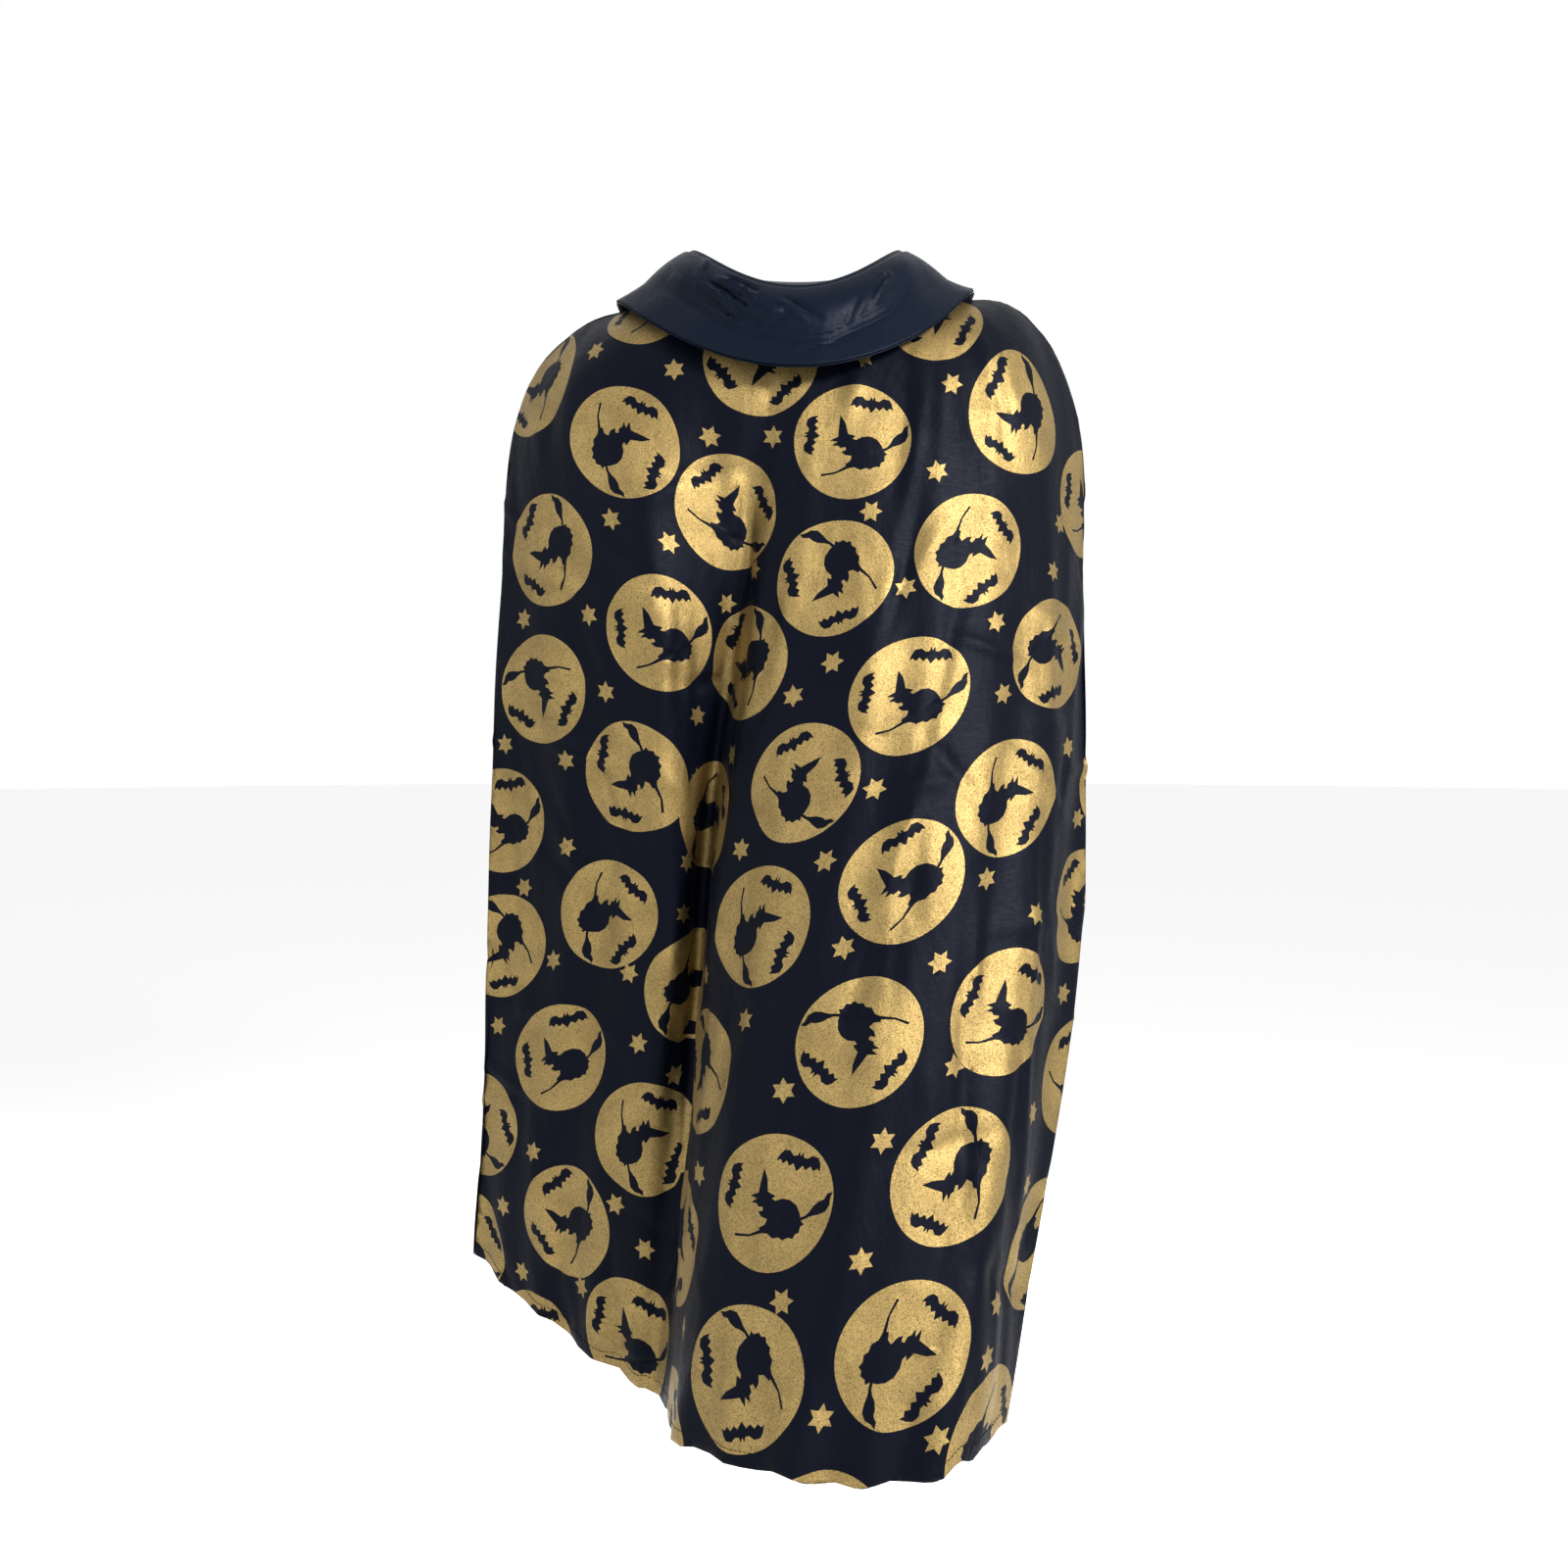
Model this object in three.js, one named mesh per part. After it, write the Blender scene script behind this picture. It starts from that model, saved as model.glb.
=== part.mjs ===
// A knee-length costume cape with a turned-down collar, hung by its shoulders.
// Millimetres, +Z up. The back of the cape faces -Y and the front opening faces +Y.
// The origin is the point midway between the two highest points of the collar, over the hanger's neck.
import * as THREE from "three";

// ---- Driving dimensions ------------------------------------------------------------------------
const SHOULDER_HALF = 230; // centre line to shoulder tip
const BODY_DEPTH = 80; // hanger line to the back, just below the collar
const LENGTH = 965; // origin down to the lowest point of the hem
const NECK_HALF_WIDTH = 88; // neck seam, centre line to side
const NECK_HALF_DEPTH = 70; // neck seam, centre to back
const NECK_SIDE_DROP = 25; // collar top down to the neck seam at the side
const NECK_BACK_DIP = 25; // how much lower the neck seam hangs at the back than at the side
const NECK_FRONT_DIP = 70; // and at the front
const NECK_OPEN_ANGLE = 168; // centre back round to each front edge, degrees
const ROLL_SIDE_LEAN = 4; // collar's roll line, outside the neck seam at the side
const ROLL_END_LEAN = 12; // and at the back and front
const ROLL_BACK_DIP = 57; // how much lower the roll line hangs at the back than at the side
const ROLL_FRONT_DIP = 78;
const FALL_REACH = 66; // collar's outer edge, outside the roll line at the side
const FALL_LIFT = 4.3; // and above the shoulder slope there
const FALL_BACK_STAND_OFF = 24; // and clear of the back and of the front
const FALL_FRONT_STAND_OFF = 28;
const FALL_BACK_DROP = 81; // how much lower the outer edge hangs at the back than at the side
const FALL_FRONT_DROP = 117;
const COLLAR_END_ANGLE = 164; // centre back round to each collar point, degrees
const CLOTH = 1.5; // one panel's thickness
const COLLAR_LEAF = 0.9; // one leaf of the collar
const INTERFACING = 0.5;
const TAPE = 0.8; // hems, facings, bindings and seam tapes
const HEM_WIDTH = 12;
const FACING_WIDTH = 18;
const BINDING_WIDTH = 11;
const SEAM_TAPE_HALF_WIDTH = 7;
const OPENING_HALF = 16; // each front edge from the centre line
const FRONT_TOP_DEPTH = 80; // hanger line to the front edge at the top of the crease
const FRONT_HEM_DEPTH = 100; // and at the hem
const CREASE_TOP_DROP = 190; // origin down to the top of the crease that the fronts fold on
const CREASE_HEM_LEFT = 135; // centre line to the foot of the left crease
const CREASE_HEM_RIGHT = 118; // and of the right one
const FRONT_HEM_DROP = 905; // origin down to the hem at the front
const TAB_LENGTH = 58;
const TAB_WIDTH = 20;
const TAB_THICKNESS = 1.2;
const TAB_BASE = 9; // the sewn end of the tab
const TAB_DROP = 112; // origin down to the middle of the tab
const SNAP_RADIUS = 5;
const SNAP_STUD_RADIUS = 2;
const SNAP_HEIGHT = 1.1; // one half of the snap
const STUD_FIT = 0.25; // the stud's clearance in its socket, all round
const SNAP_FROM_CENTRE = 24;
const LABEL_WIDTH = 28;
const LABEL_LENGTH = 46;
const LABEL_THICKNESS = 0.5;
const LAYER_GAP = 0.3; // clearance between two layers of cloth
const SEAM_GAP = 0.3; // each panel's edge to the seam line
const HINGE_GAP = 0.3; // each edge of a crease to its axis

// ---- The hanging shape -------------------------------------------------------------------------
// The back panel's thread lines, from the left side seam to the right one. Each row is one level:
// where the nine thread lines hang, in plan and height, for a cape of the base sizes below.
const BASE = { half: 230, depth: 80, length: 965 };
const ROWS = [
  { drop: 110, at: [[-228, 0, -100], [-185, -55, -125], [-125, -72, -135], [-60, -76, -140], [0, -80, -145],
    [55, -80, -145], [115, -76, -140], [180, -58, -125], [232, 0, -100]] },
  { drop: 300, at: [[-262, 0, -300], [-190, -52, -300], [-120, -82, -300], [-58, -58, -300], [-8, -86, -300],
    [60, -98, -300], [125, -94, -300], [200, -62, -300], [256, 0, -300]] },
  { drop: 600, at: [[-282, 40, -590], [-190, -6, -600], [-120, -34, -600], [-86, -24, -600], [-52, -104, -600],
    [18, -150, -600], [95, -160, -600], [175, -132, -600], [238, -58, -595]] },
  { drop: 940, at: [[-300, 58, -912], [-217, 0, -948], [-142, -46, -965], [-110, -76, -965], [-92, -186, -946],
    [-30, -245, -935], [50, -262, -936], [115, -248, -929], [152, -190, -932]] },
];
const THREADS = ROWS[0].at.length - 1;
const rad = THREE.MathUtils.degToRad;
const clamp = THREE.MathUtils.clamp;

// A smooth curve through values at rising knots.
function through(knots, values, t) {
  const last = knots.length - 1;
  let i = 0;
  while (i < last - 1 && t > knots[i + 1]) i++;
  const slope = (k) => {
    const a = Math.max(k - 1, 0);
    const b = Math.min(k + 1, last);
    return (values[b] - values[a]) / (knots[b] - knots[a]);
  };
  const h = knots[i + 1] - knots[i];
  const f = (t - knots[i]) / h;
  const f2 = f * f;
  const f3 = f2 * f;
  return (2 * f3 - 3 * f2 + 1) * values[i] + (f3 - 2 * f2 + f) * h * slope(i)
    + (3 * f2 - 2 * f3) * values[i + 1] + (f3 - f2) * h * slope(i + 1);
}

// A point of a ring round the neck: angle 0 is the centre back, and it grows towards the right.
function ring(angle, halfWidth, backDepth, frontDepth, sideDrop, backDip, frontDip) {
  const c = Math.cos(angle);
  const depth = c > 0 ? backDepth : frontDepth;
  const dip = c > 0 ? backDip : frontDip;
  return new THREE.Vector3(halfWidth * Math.sin(angle), -depth * c, -sideDrop - dip * c * c);
}
const neckSeam = (angle) => ring(angle, NECK_HALF_WIDTH, NECK_HALF_DEPTH, NECK_HALF_DEPTH,
  NECK_SIDE_DROP, NECK_BACK_DIP, NECK_FRONT_DIP);
const ROLL_HALF_WIDTH = NECK_HALF_WIDTH + ROLL_SIDE_LEAN;
const ROLL_HALF_DEPTH = NECK_HALF_DEPTH + ROLL_END_LEAN;
const rollLine = (angle) => ring(angle, ROLL_HALF_WIDTH, ROLL_HALF_DEPTH, ROLL_HALF_DEPTH,
  0, ROLL_BACK_DIP, ROLL_FRONT_DIP);

const SIDE_ANGLE = rad(90); // the side seams start at the neck's widest points
const KNOTS = [0, ...ROWS.map((row) => row.drop)];
const STATIONS = Array.from({ length: THREADS + 1 }, (_, k) => k);
const SHOULDER_LEVEL = KNOTS[1] / KNOTS[KNOTS.length - 1]; // v of the row at the shoulder tips
const SCALE = [SHOULDER_HALF / BASE.half, BODY_DEPTH / BASE.depth, LENGTH / BASE.length];

// The back panel's outer face: u counts thread lines from the left seam, v runs 0 to 1 down to the hem.
function back(u, v) {
  const drop = v * KNOTS[KNOTS.length - 1];
  const top = neckSeam(SIDE_ANGLE * (u / (THREADS / 2) - 1)).toArray();
  const at = [0, 1, 2].map((axis) => {
    const down = ROWS.map((row) => through(STATIONS, row.at.map((p) => p[axis] * SCALE[axis]), u));
    return through(KNOTS, [top[axis], ...down], drop);
  });
  return new THREE.Vector3(...at);
}

// The place between two ends where a rising or falling measure reaches nought.
function solve(measure, low, high) {
  const rising = measure(high) > measure(low);
  for (let pass = 0; pass < 40; pass++) {
    const middle = (low + high) / 2;
    if (measure(middle) > 0 === rising) high = middle;
    else low = middle;
  }
  return (low + high) / 2;
}

// The collar's outer edge lies just above the shoulder slopes.
const FALL_HALF_WIDTH = ROLL_HALF_WIDTH + FALL_REACH;
const slopeDrop = (u) => -back(u, solve((v) => Math.abs(back(u, v).x) - FALL_HALF_WIDTH, 0, SHOULDER_LEVEL)).z;
const FALL_SIDE_DROP = Math.min(slopeDrop(0), slopeDrop(THREADS)) - FALL_LIFT;
const collarEdge = (angle) => ring(angle, FALL_HALF_WIDTH, BODY_DEPTH + FALL_BACK_STAND_OFF,
  FRONT_TOP_DEPTH + FALL_FRONT_STAND_OFF, FALL_SIDE_DROP, FALL_BACK_DROP, FALL_FRONT_DROP);

// Each side's front: the seam at its back edge, the opening and then the crease at its front edge.
const SIDES = {
  left: { sign: -1, seam: 0, crease: CREASE_HEM_LEFT },
  right: { sign: 1, seam: THREADS, crease: CREASE_HEM_RIGHT },
};
const creaseTop = (side) => new THREE.Vector3(side.sign * OPENING_HALF, FRONT_TOP_DEPTH, -CREASE_TOP_DROP);
const creaseFoot = (side) => new THREE.Vector3(side.sign * side.crease, FRONT_HEM_DEPTH + 12, -FRONT_HEM_DROP);
const frontCorner = (side) => new THREE.Vector3(side.sign * OPENING_HALF, FRONT_HEM_DEPTH, -FRONT_HEM_DROP);
const CREASE_START = CREASE_TOP_DROP / FRONT_HEM_DROP * 0.86; // v where the opening ends and the crease starts

// The front edge of a fixed front: down the opening from the neck, then down the crease.
function innerEdge(side, v) {
  const neck = neckSeam(side.sign * rad(NECK_OPEN_ANGLE));
  if (v < CREASE_START) return neck.lerp(creaseTop(side), v / CREASE_START);
  return creaseTop(side).lerp(creaseFoot(side), (v - CREASE_START) / (1 - CREASE_START));
}

// A fixed front's outer face: s runs 0 to 1 from the side seam round to its front edge.
function front(side, s, v) {
  const seam = back(side.seam, v);
  const edge = innerEdge(side, v);
  const corner = new THREE.Vector3(seam.x * 0.96, Math.max(edge.y, seam.y) + 4, (seam.z + edge.z) / 2);
  return seam.multiplyScalar((1 - s) ** 2).add(corner.multiplyScalar(2 * s * (1 - s))).add(edge.multiplyScalar(s * s));
}

// A swinging front's outer face: flat, from the crease to the opening, s 0 to 1, and down it, t 0 to 1.
function swing(side, s, t) {
  const crease = creaseTop(side).lerp(creaseFoot(side), t);
  const edge = creaseTop(side).lerp(frontCorner(side), t);
  return crease.lerp(edge, s);
}

// The two leaves of the collar: the stand rises inside from the neck seam, and the fall hangs outside.
const stand = (angle, v) => neckSeam(angle).lerp(rollLine(angle), v);
function fall(angle, v) {
  const swell = 7 * Math.sin(Math.PI * v); // the fold's roundness
  const out = new THREE.Vector3(Math.sin(angle), -Math.cos(angle), 0.9);
  return rollLine(angle).lerp(collarEdge(angle), v).addScaledVector(out, swell);
}

// ---- Making solids -----------------------------------------------------------------------------
// The unit normal of a face function, turned to the inner side by `turn`.
function normalOf(face, u, v, du, dv, turn) {
  const along = face(u + du, v).sub(face(u - du, v));
  const down = face(u, v + dv).sub(face(u, v - dv));
  return along.cross(down).normalize().multiplyScalar(turn);
}

// The inner side at a side seam, at right angles to it, so that both panels are cut square there.
function seamNormal(side, v) {
  const step = 1e-3;
  const down = back(side.seam, v + step).sub(back(side.seam, v - step));
  return new THREE.Vector3(side.sign * down.z, 0, -side.sign * down.x).normalize();
}

// One closed layer of cloth between two offsets from a face: at(i, j) gives a point and its inner normal.
function layer(columns, rows, at, from, to) {
  const points = [];
  const index = [];
  const width = columns + 1;
  const count = width * (rows + 1);
  for (const offset of [from, to]) {
    for (let j = 0; j <= rows; j++) {
      for (let i = 0; i <= columns; i++) {
        const { point, normal } = at(i / columns, j / rows);
        points.push(...point.addScaledVector(normal, offset));
      }
    }
  }
  const quad = (a, b, c, d) => index.push(a, b, c, a, c, d);
  for (let j = 0; j < rows; j++) {
    for (let i = 0; i < columns; i++) {
      const a = j * width + i;
      quad(a, a + 1, a + 1 + width, a + width);
      quad(count + a, count + a + width, count + a + 1 + width, count + a + 1);
    }
  }
  const rim = [];
  for (let i = 0; i < columns; i++) rim.push(i);
  for (let j = 0; j < rows; j++) rim.push(j * width + columns);
  for (let i = columns; i > 0; i--) rim.push(rows * width + i);
  for (let j = rows; j > 0; j--) rim.push(j * width);
  rim.forEach((a, k) => {
    const b = rim[(k + 1) % rim.length];
    quad(b, a, count + a, count + b);
  });
  return facingOut(points, index);
}

// The geometry with its faces turned outwards, whichever way it was wound.
function facingOut(points, index) {
  const corner = (k) => new THREE.Vector3().fromArray(points, 3 * index[k]);
  let volume = 0;
  for (let k = 0; k < index.length; k += 3) volume += corner(k).dot(corner(k + 1).cross(corner(k + 2)));
  if (volume < 0) index.reverse();
  const geometry = new THREE.BufferGeometry();
  geometry.setAttribute("position", new THREE.Float32BufferAttribute(points, 3));
  geometry.setIndex(index);
  geometry.computeVertexNormals();
  return geometry;
}

const MATERIALS = {
  satin: { color: 0x0b101e, roughness: 0.42, metalness: 0 },
  collar_cloth: { color: 0x1a2434, roughness: 0.5, metalness: 0 },
  interfacing: { color: 0xd8d5cc, roughness: 0.9, metalness: 0 },
  tape: { color: 0x11161f, roughness: 0.7, metalness: 0 },
  label: { color: 0xe9e7e1, roughness: 0.6, metalness: 0 },
  snap: { color: 0x9a9ca0, roughness: 0.3, metalness: 1 },
};
const cape = new THREE.Group();
function add(name, material, geometry) {
  const mesh = new THREE.Mesh(geometry, new THREE.MeshStandardMaterial(MATERIALS[material]));
  mesh.name = name;
  cape.add(mesh);
  return mesh;
}

// ---- Panels ------------------------------------------------------------------------------------
const BACK_COLUMNS = 32;
const BACK_ROWS = 24;
const FRONT_COLUMNS = 10;
const SEAM_BLEND = 0.35; // share of a thread gap over which the back's cut turns square to the seam
const STEP = 1e-3;

// The back's point and inner normal, squared up beside the side seams.
function backAt(u, v) {
  const normal = normalOf(back, clamp(u, STEP, THREADS - STEP), clamp(v, STEP, 1 - STEP), STEP, STEP, 1);
  for (const side of Object.values(SIDES)) {
    const near = clamp(1 - Math.abs(u - side.seam) / SEAM_BLEND, 0, 1);
    if (near > 0) normal.lerp(seamNormal(side, clamp(v, STEP, 1 - STEP)), near).normalize();
  }
  return { point: back(u, v), normal };
}

// A swinging front's inner normal; it is flat, so one serves all of it.
function swingNormal(side) {
  const across = frontCorner(side).sub(creaseFoot(side));
  const down = creaseFoot(side).sub(creaseTop(side));
  return across.cross(down).normalize().multiplyScalar(side.sign);
}

// A fixed front's point and inner normal, squared up at the seam and at the crease.
function frontAt(side, s, v) {
  const face = (a, b) => front(side, a, b);
  const normal = normalOf(face, clamp(s, STEP, 1 - STEP), clamp(v, STEP, 1 - STEP), STEP, STEP, side.sign);
  const seam = clamp(1 - s / 0.06, 0, 1);
  const edge = clamp((s - 0.9) / 0.1, 0, 1);
  if (seam > 0) normal.lerp(seamNormal(side, clamp(v, STEP, 1 - STEP)), seam).normalize();
  if (edge > 0) normal.lerp(swingNormal(side), edge).normalize();
  return { point: face(s, v), normal };
}

// How far along a span, as a share of it, a distance in millimetres reaches.
const share = (distance, a, b) => distance / a.distanceTo(b);

function backPanel() {
  const at = (i, j) => {
    const trim = share(SEAM_GAP, back(0, j), back(1, j));
    return backAt(trim + i * (THREADS - 2 * trim), j);
  };
  return layer(BACK_COLUMNS, BACK_ROWS, at, 0, CLOTH);
}

function fixedFront(side) {
  const at = (i, j) => {
    const trim = share(SEAM_GAP, front(side, 0, j), front(side, 0.1, j)) * 0.1;
    const end = 1 - share(HINGE_GAP, front(side, 0.9, j), front(side, 1, j)) * 0.1;
    return frontAt(side, trim + i * (end - trim), j);
  };
  return layer(FRONT_COLUMNS, BACK_ROWS, at, 0, CLOTH);
}

// The strip of a swinging front between two lines, given in millimetres from the crease or the opening.
function swingStrip(side, t0, t1, left, right, from, to, columns, rows) {
  const normal = swingNormal(side);
  const at = (i, j) => {
    const t = t0 + j * (t1 - t0);
    const width = swing(side, 0, t).distanceTo(swing(side, 1, t));
    const a = left(width);
    return { point: swing(side, a + i * (right(width) - a), t), normal };
  };
  return layer(columns, rows, at, from, to);
}
const swingHeight = creaseTop(SIDES.left).distanceTo(frontCorner(SIDES.left));
const SWING_START = 0.04; // the crease opens this far below its top, where the front is wide enough to fold

function swingingFront(side) {
  return swingStrip(side, SWING_START, 1, (w) => HINGE_GAP / w, () => 1, 0, CLOTH, 4, 12);
}

// ---- Hems, facings and tapes, sewn on the inner side ---------------------------------------------
const INSIDE = CLOTH + LAYER_GAP;

function backHem() {
  const start = 1 - HEM_WIDTH / LENGTH;
  const first = 1 / BACK_COLUMNS;
  const at = (i, j) => backAt(THREADS * (first + i * (1 - 2 * first)), start + j * (1 - start));
  return layer(BACK_COLUMNS - 2, 1, at, INSIDE, INSIDE + TAPE);
}

function sideHem(side) {
  const start = 1 - HEM_WIDTH / LENGTH;
  const first = 1 / FRONT_COLUMNS;
  const at = (i, j) => frontAt(side, first + i * (1 - 2 * first), start + j * (1 - start));
  return layer(FRONT_COLUMNS - 2, 1, at, INSIDE, INSIDE + TAPE);
}

function edgeHem(side) {
  const ends = (w) => 1 - (FACING_WIDTH + LAYER_GAP) / w;
  return swingStrip(side, 1 - HEM_WIDTH / swingHeight, 1, (w) => 2 / w, ends, INSIDE, INSIDE + TAPE, 2, 1);
}

function edgeFacing(side) {
  const start = 0.24; // below here the front is wider than its facing
  return swingStrip(side, start, 1, (w) => 1 - FACING_WIDTH / w, () => 1, INSIDE, INSIDE + TAPE, 1, 8);
}

// A side seam's tape lies over both panels on the inner side, on the flats beside the seam.
function seamTape(side) {
  const firstRow = 2;
  const rows = BACK_ROWS - firstRow;
  const at = (i, j) => {
    const v = (firstRow + j * rows) / BACK_ROWS;
    const point = back(side.seam, v);
    const ahead = front(side, 1 / FRONT_COLUMNS, v);
    const behind = back(side.seam - side.sign * THREADS / BACK_COLUMNS, v);
    const along = (i < 0.5 ? behind : ahead).sub(point).normalize();
    point.addScaledVector(along, Math.abs(2 * i - 1) * SEAM_TAPE_HALF_WIDTH);
    return { point, normal: seamNormal(side, clamp(v, STEP, 1 - STEP)) };
  };
  return layer(4, rows, at, INSIDE + 2 * LAYER_GAP, INSIDE + 2 * LAYER_GAP + TAPE);
}

// ---- Collar ------------------------------------------------------------------------------------
const COLLAR_COLUMNS = 40;
const FALL_INNER = COLLAR_LEAF + INTERFACING + 3 * LAYER_GAP;

// A leaf of the collar between two offsets inwards of its outer face, v0 to v1 across it. All leaves
// share one grid, so that they nest, and `inset` leaves out that many of its columns and rows all round.
function leaf(face, v0, v1, rows, inset, turn, from, to) {
  const end = rad(COLLAR_END_ANGLE);
  const at = (i, j) => {
    const column = inset + i * (COLLAR_COLUMNS - 2 * inset);
    const row = inset + j * (rows - 2 * inset);
    const angle = end * (2 * column / COLLAR_COLUMNS - 1);
    const v = v0 + (v1 - v0) * row / rows;
    return { point: face(angle, v), normal: normalOf(face, angle, clamp(v, STEP, 1 - STEP), STEP, STEP, turn) };
  };
  return layer(COLLAR_COLUMNS - 2 * inset, rows - 2 * inset, at, from, to);
}
const FALL_TOP = 0.012; // shares of the fall and the stand that the roll takes up
const STAND_TOP = 0.985;
const STAND_FOOT = 0.06;
const FALL_ROWS = 6;
const fallLeaf = (inset, from, thickness) => leaf(fall, FALL_TOP, 1, FALL_ROWS, inset, 1, from, from + thickness);
const upperCollar = () => fallLeaf(0, 0, COLLAR_LEAF);
const interfacing = () => fallLeaf(1, COLLAR_LEAF + LAYER_GAP, INTERFACING);
const collarStand = () => leaf(stand, STAND_FOOT, STAND_TOP, 2, 0, -1, 0, COLLAR_LEAF);

// The under leaf starts lower than the upper one, clear of the roll.
function underCollar() {
  const first = FALL_TOP + (1 - FALL_TOP) / FALL_ROWS / 2;
  return leaf(fall, first, 1, FALL_ROWS, 0, 1, FALL_INNER, FALL_INNER + COLLAR_LEAF);
}

// The binding covers the neck seam on the inner side, just below the stand.
function neckBinding() {
  const depth = BINDING_WIDTH / LENGTH;
  const at = (i, j) => {
    const v = 0.002 + j * depth;
    return backAt(THREADS * (0.02 + 0.96 * i), v);
  };
  return layer(24, 1, at, INSIDE, INSIDE + TAPE);
}

// ---- Throat tab and snap -------------------------------------------------------------------------
// A flat block given by its low and high corners.
function block(low, high) {
  const size = high.clone().sub(low);
  const middle = low.clone().add(high).multiplyScalar(0.5);
  return new THREE.BoxGeometry(size.x, size.y, size.z).translate(middle.x, middle.y, middle.z);
}

// Where the front lies at a drop below the origin, a given distance from the centre line.
function frontSpot(side, fromCentre, drop) {
  const across = (v) => solve((s) => Math.abs(front(side, s, v).x) - fromCentre, 0.5, 1);
  const v = solve((v) => front(side, across(v), v).z + drop, 0, CREASE_START);
  return front(side, across(v), v);
}

// The depth that clears the front everywhere under a patch.
function clearDepth(side, near, far, height) {
  const depths = [];
  for (const fromCentre of [near, far]) {
    for (const drop of [TAB_DROP - height / 2, TAB_DROP, TAB_DROP + height / 2]) {
      depths.push(frontSpot(side, fromCentre, drop).y);
    }
  }
  return Math.max(...depths) + LAYER_GAP;
}
const STUD_FOOT = clearDepth(SIDES.right, SNAP_FROM_CENTRE - SNAP_RADIUS, SNAP_FROM_CENTRE + SNAP_RADIUS,
  2 * SNAP_RADIUS);
const BASE_FOOT = clearDepth(SIDES.left, SNAP_FROM_CENTRE, SNAP_FROM_CENTRE + TAB_BASE, TAB_WIDTH);
const TAB_FACE = STUD_FOOT + 2 * SNAP_HEIGHT + 2 * LAYER_GAP; // the tab's inner face
const TAB_START = -SNAP_FROM_CENTRE; // the tab folds on this line

function throatTab() {
  const low = new THREE.Vector3(TAB_START + HINGE_GAP, TAB_FACE, -TAB_DROP - TAB_WIDTH / 2);
  const high = new THREE.Vector3(TAB_START + TAB_LENGTH, TAB_FACE + TAB_THICKNESS, -TAB_DROP + TAB_WIDTH / 2);
  return block(low, high);
}

function tabBase() {
  const low = new THREE.Vector3(TAB_START - TAB_BASE, BASE_FOOT, -TAB_DROP - TAB_WIDTH / 2);
  const high = new THREE.Vector3(TAB_START - HINGE_GAP, TAB_FACE + TAB_THICKNESS, -TAB_DROP + TAB_WIDTH / 2);
  return block(low, high);
}

// One half of the snap, a turned profile with its axis along +Y.
function snapHalf(profile, y) {
  const points = profile.map(([r, h]) => new THREE.Vector2(r, h));
  return new THREE.LatheGeometry(points, 20).translate(SNAP_FROM_CENTRE, y, -TAB_DROP);
}
function snapStud() {
  const nub = SNAP_HEIGHT * 0.8;
  const profile = [[0, 0], [SNAP_RADIUS, 0], [SNAP_RADIUS, SNAP_HEIGHT], [SNAP_STUD_RADIUS, SNAP_HEIGHT],
    [SNAP_STUD_RADIUS, SNAP_HEIGHT + nub], [0, SNAP_HEIGHT + nub]];
  return snapHalf(profile, STUD_FOOT);
}

function snapSocket() {
  const bore = SNAP_STUD_RADIUS + STUD_FIT;
  const profile = [[bore, 0], [SNAP_RADIUS, 0], [SNAP_RADIUS, SNAP_HEIGHT], [bore, SNAP_HEIGHT], [bore, 0]];
  return snapHalf(profile, STUD_FOOT + SNAP_HEIGHT + LAYER_GAP);
}

// ---- Label ---------------------------------------------------------------------------------------
// It hangs inside the back of the neck from the lower edge of the binding.
function careLabel() {
  const { point, normal } = backAt(THREADS / 2, 0.002 + BINDING_WIDTH / LENGTH);
  const face = point.addScaledVector(normal, INSIDE + TAPE);
  const top = face.z - LAYER_GAP;
  const low = new THREE.Vector3(-LABEL_WIDTH / 2, face.y, top - LABEL_LENGTH);
  return block(low, new THREE.Vector3(LABEL_WIDTH / 2, face.y + LABEL_THICKNESS, top));
}

// ---- Assembly --------------------------------------------------------------------------------------
add("back_panel", "satin", backPanel());
add("back_hem", "satin", backHem());
for (const [name, side] of Object.entries(SIDES)) {
  add(`front_side_${name}`, "satin", fixedFront(side));
  add(`front_edge_${name}`, "satin", swingingFront(side));
  add(`side_hem_${name}`, "satin", sideHem(side));
  add(`edge_hem_${name}`, "satin", edgeHem(side));
  add(`edge_facing_${name}`, "satin", edgeFacing(side));
  add(`seam_tape_${name}`, "tape", seamTape(side));
}
add("upper_collar", "collar_cloth", upperCollar());
add("collar_interfacing", "interfacing", interfacing());
add("under_collar", "collar_cloth", underCollar());
add("collar_stand", "collar_cloth", collarStand());
add("neck_binding", "tape", neckBinding());
add("tab_base", "collar_cloth", tabBase());
add("throat_tab", "collar_cloth", throatTab());
add("snap_stud", "snap", snapStud());
add("snap_socket", "snap", snapSocket());
add("care_label", "label", careLabel());

export default cape;
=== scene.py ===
"""A knee-length costume cape in navy satin with a gold foil print and a turned-down collar."""

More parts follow.
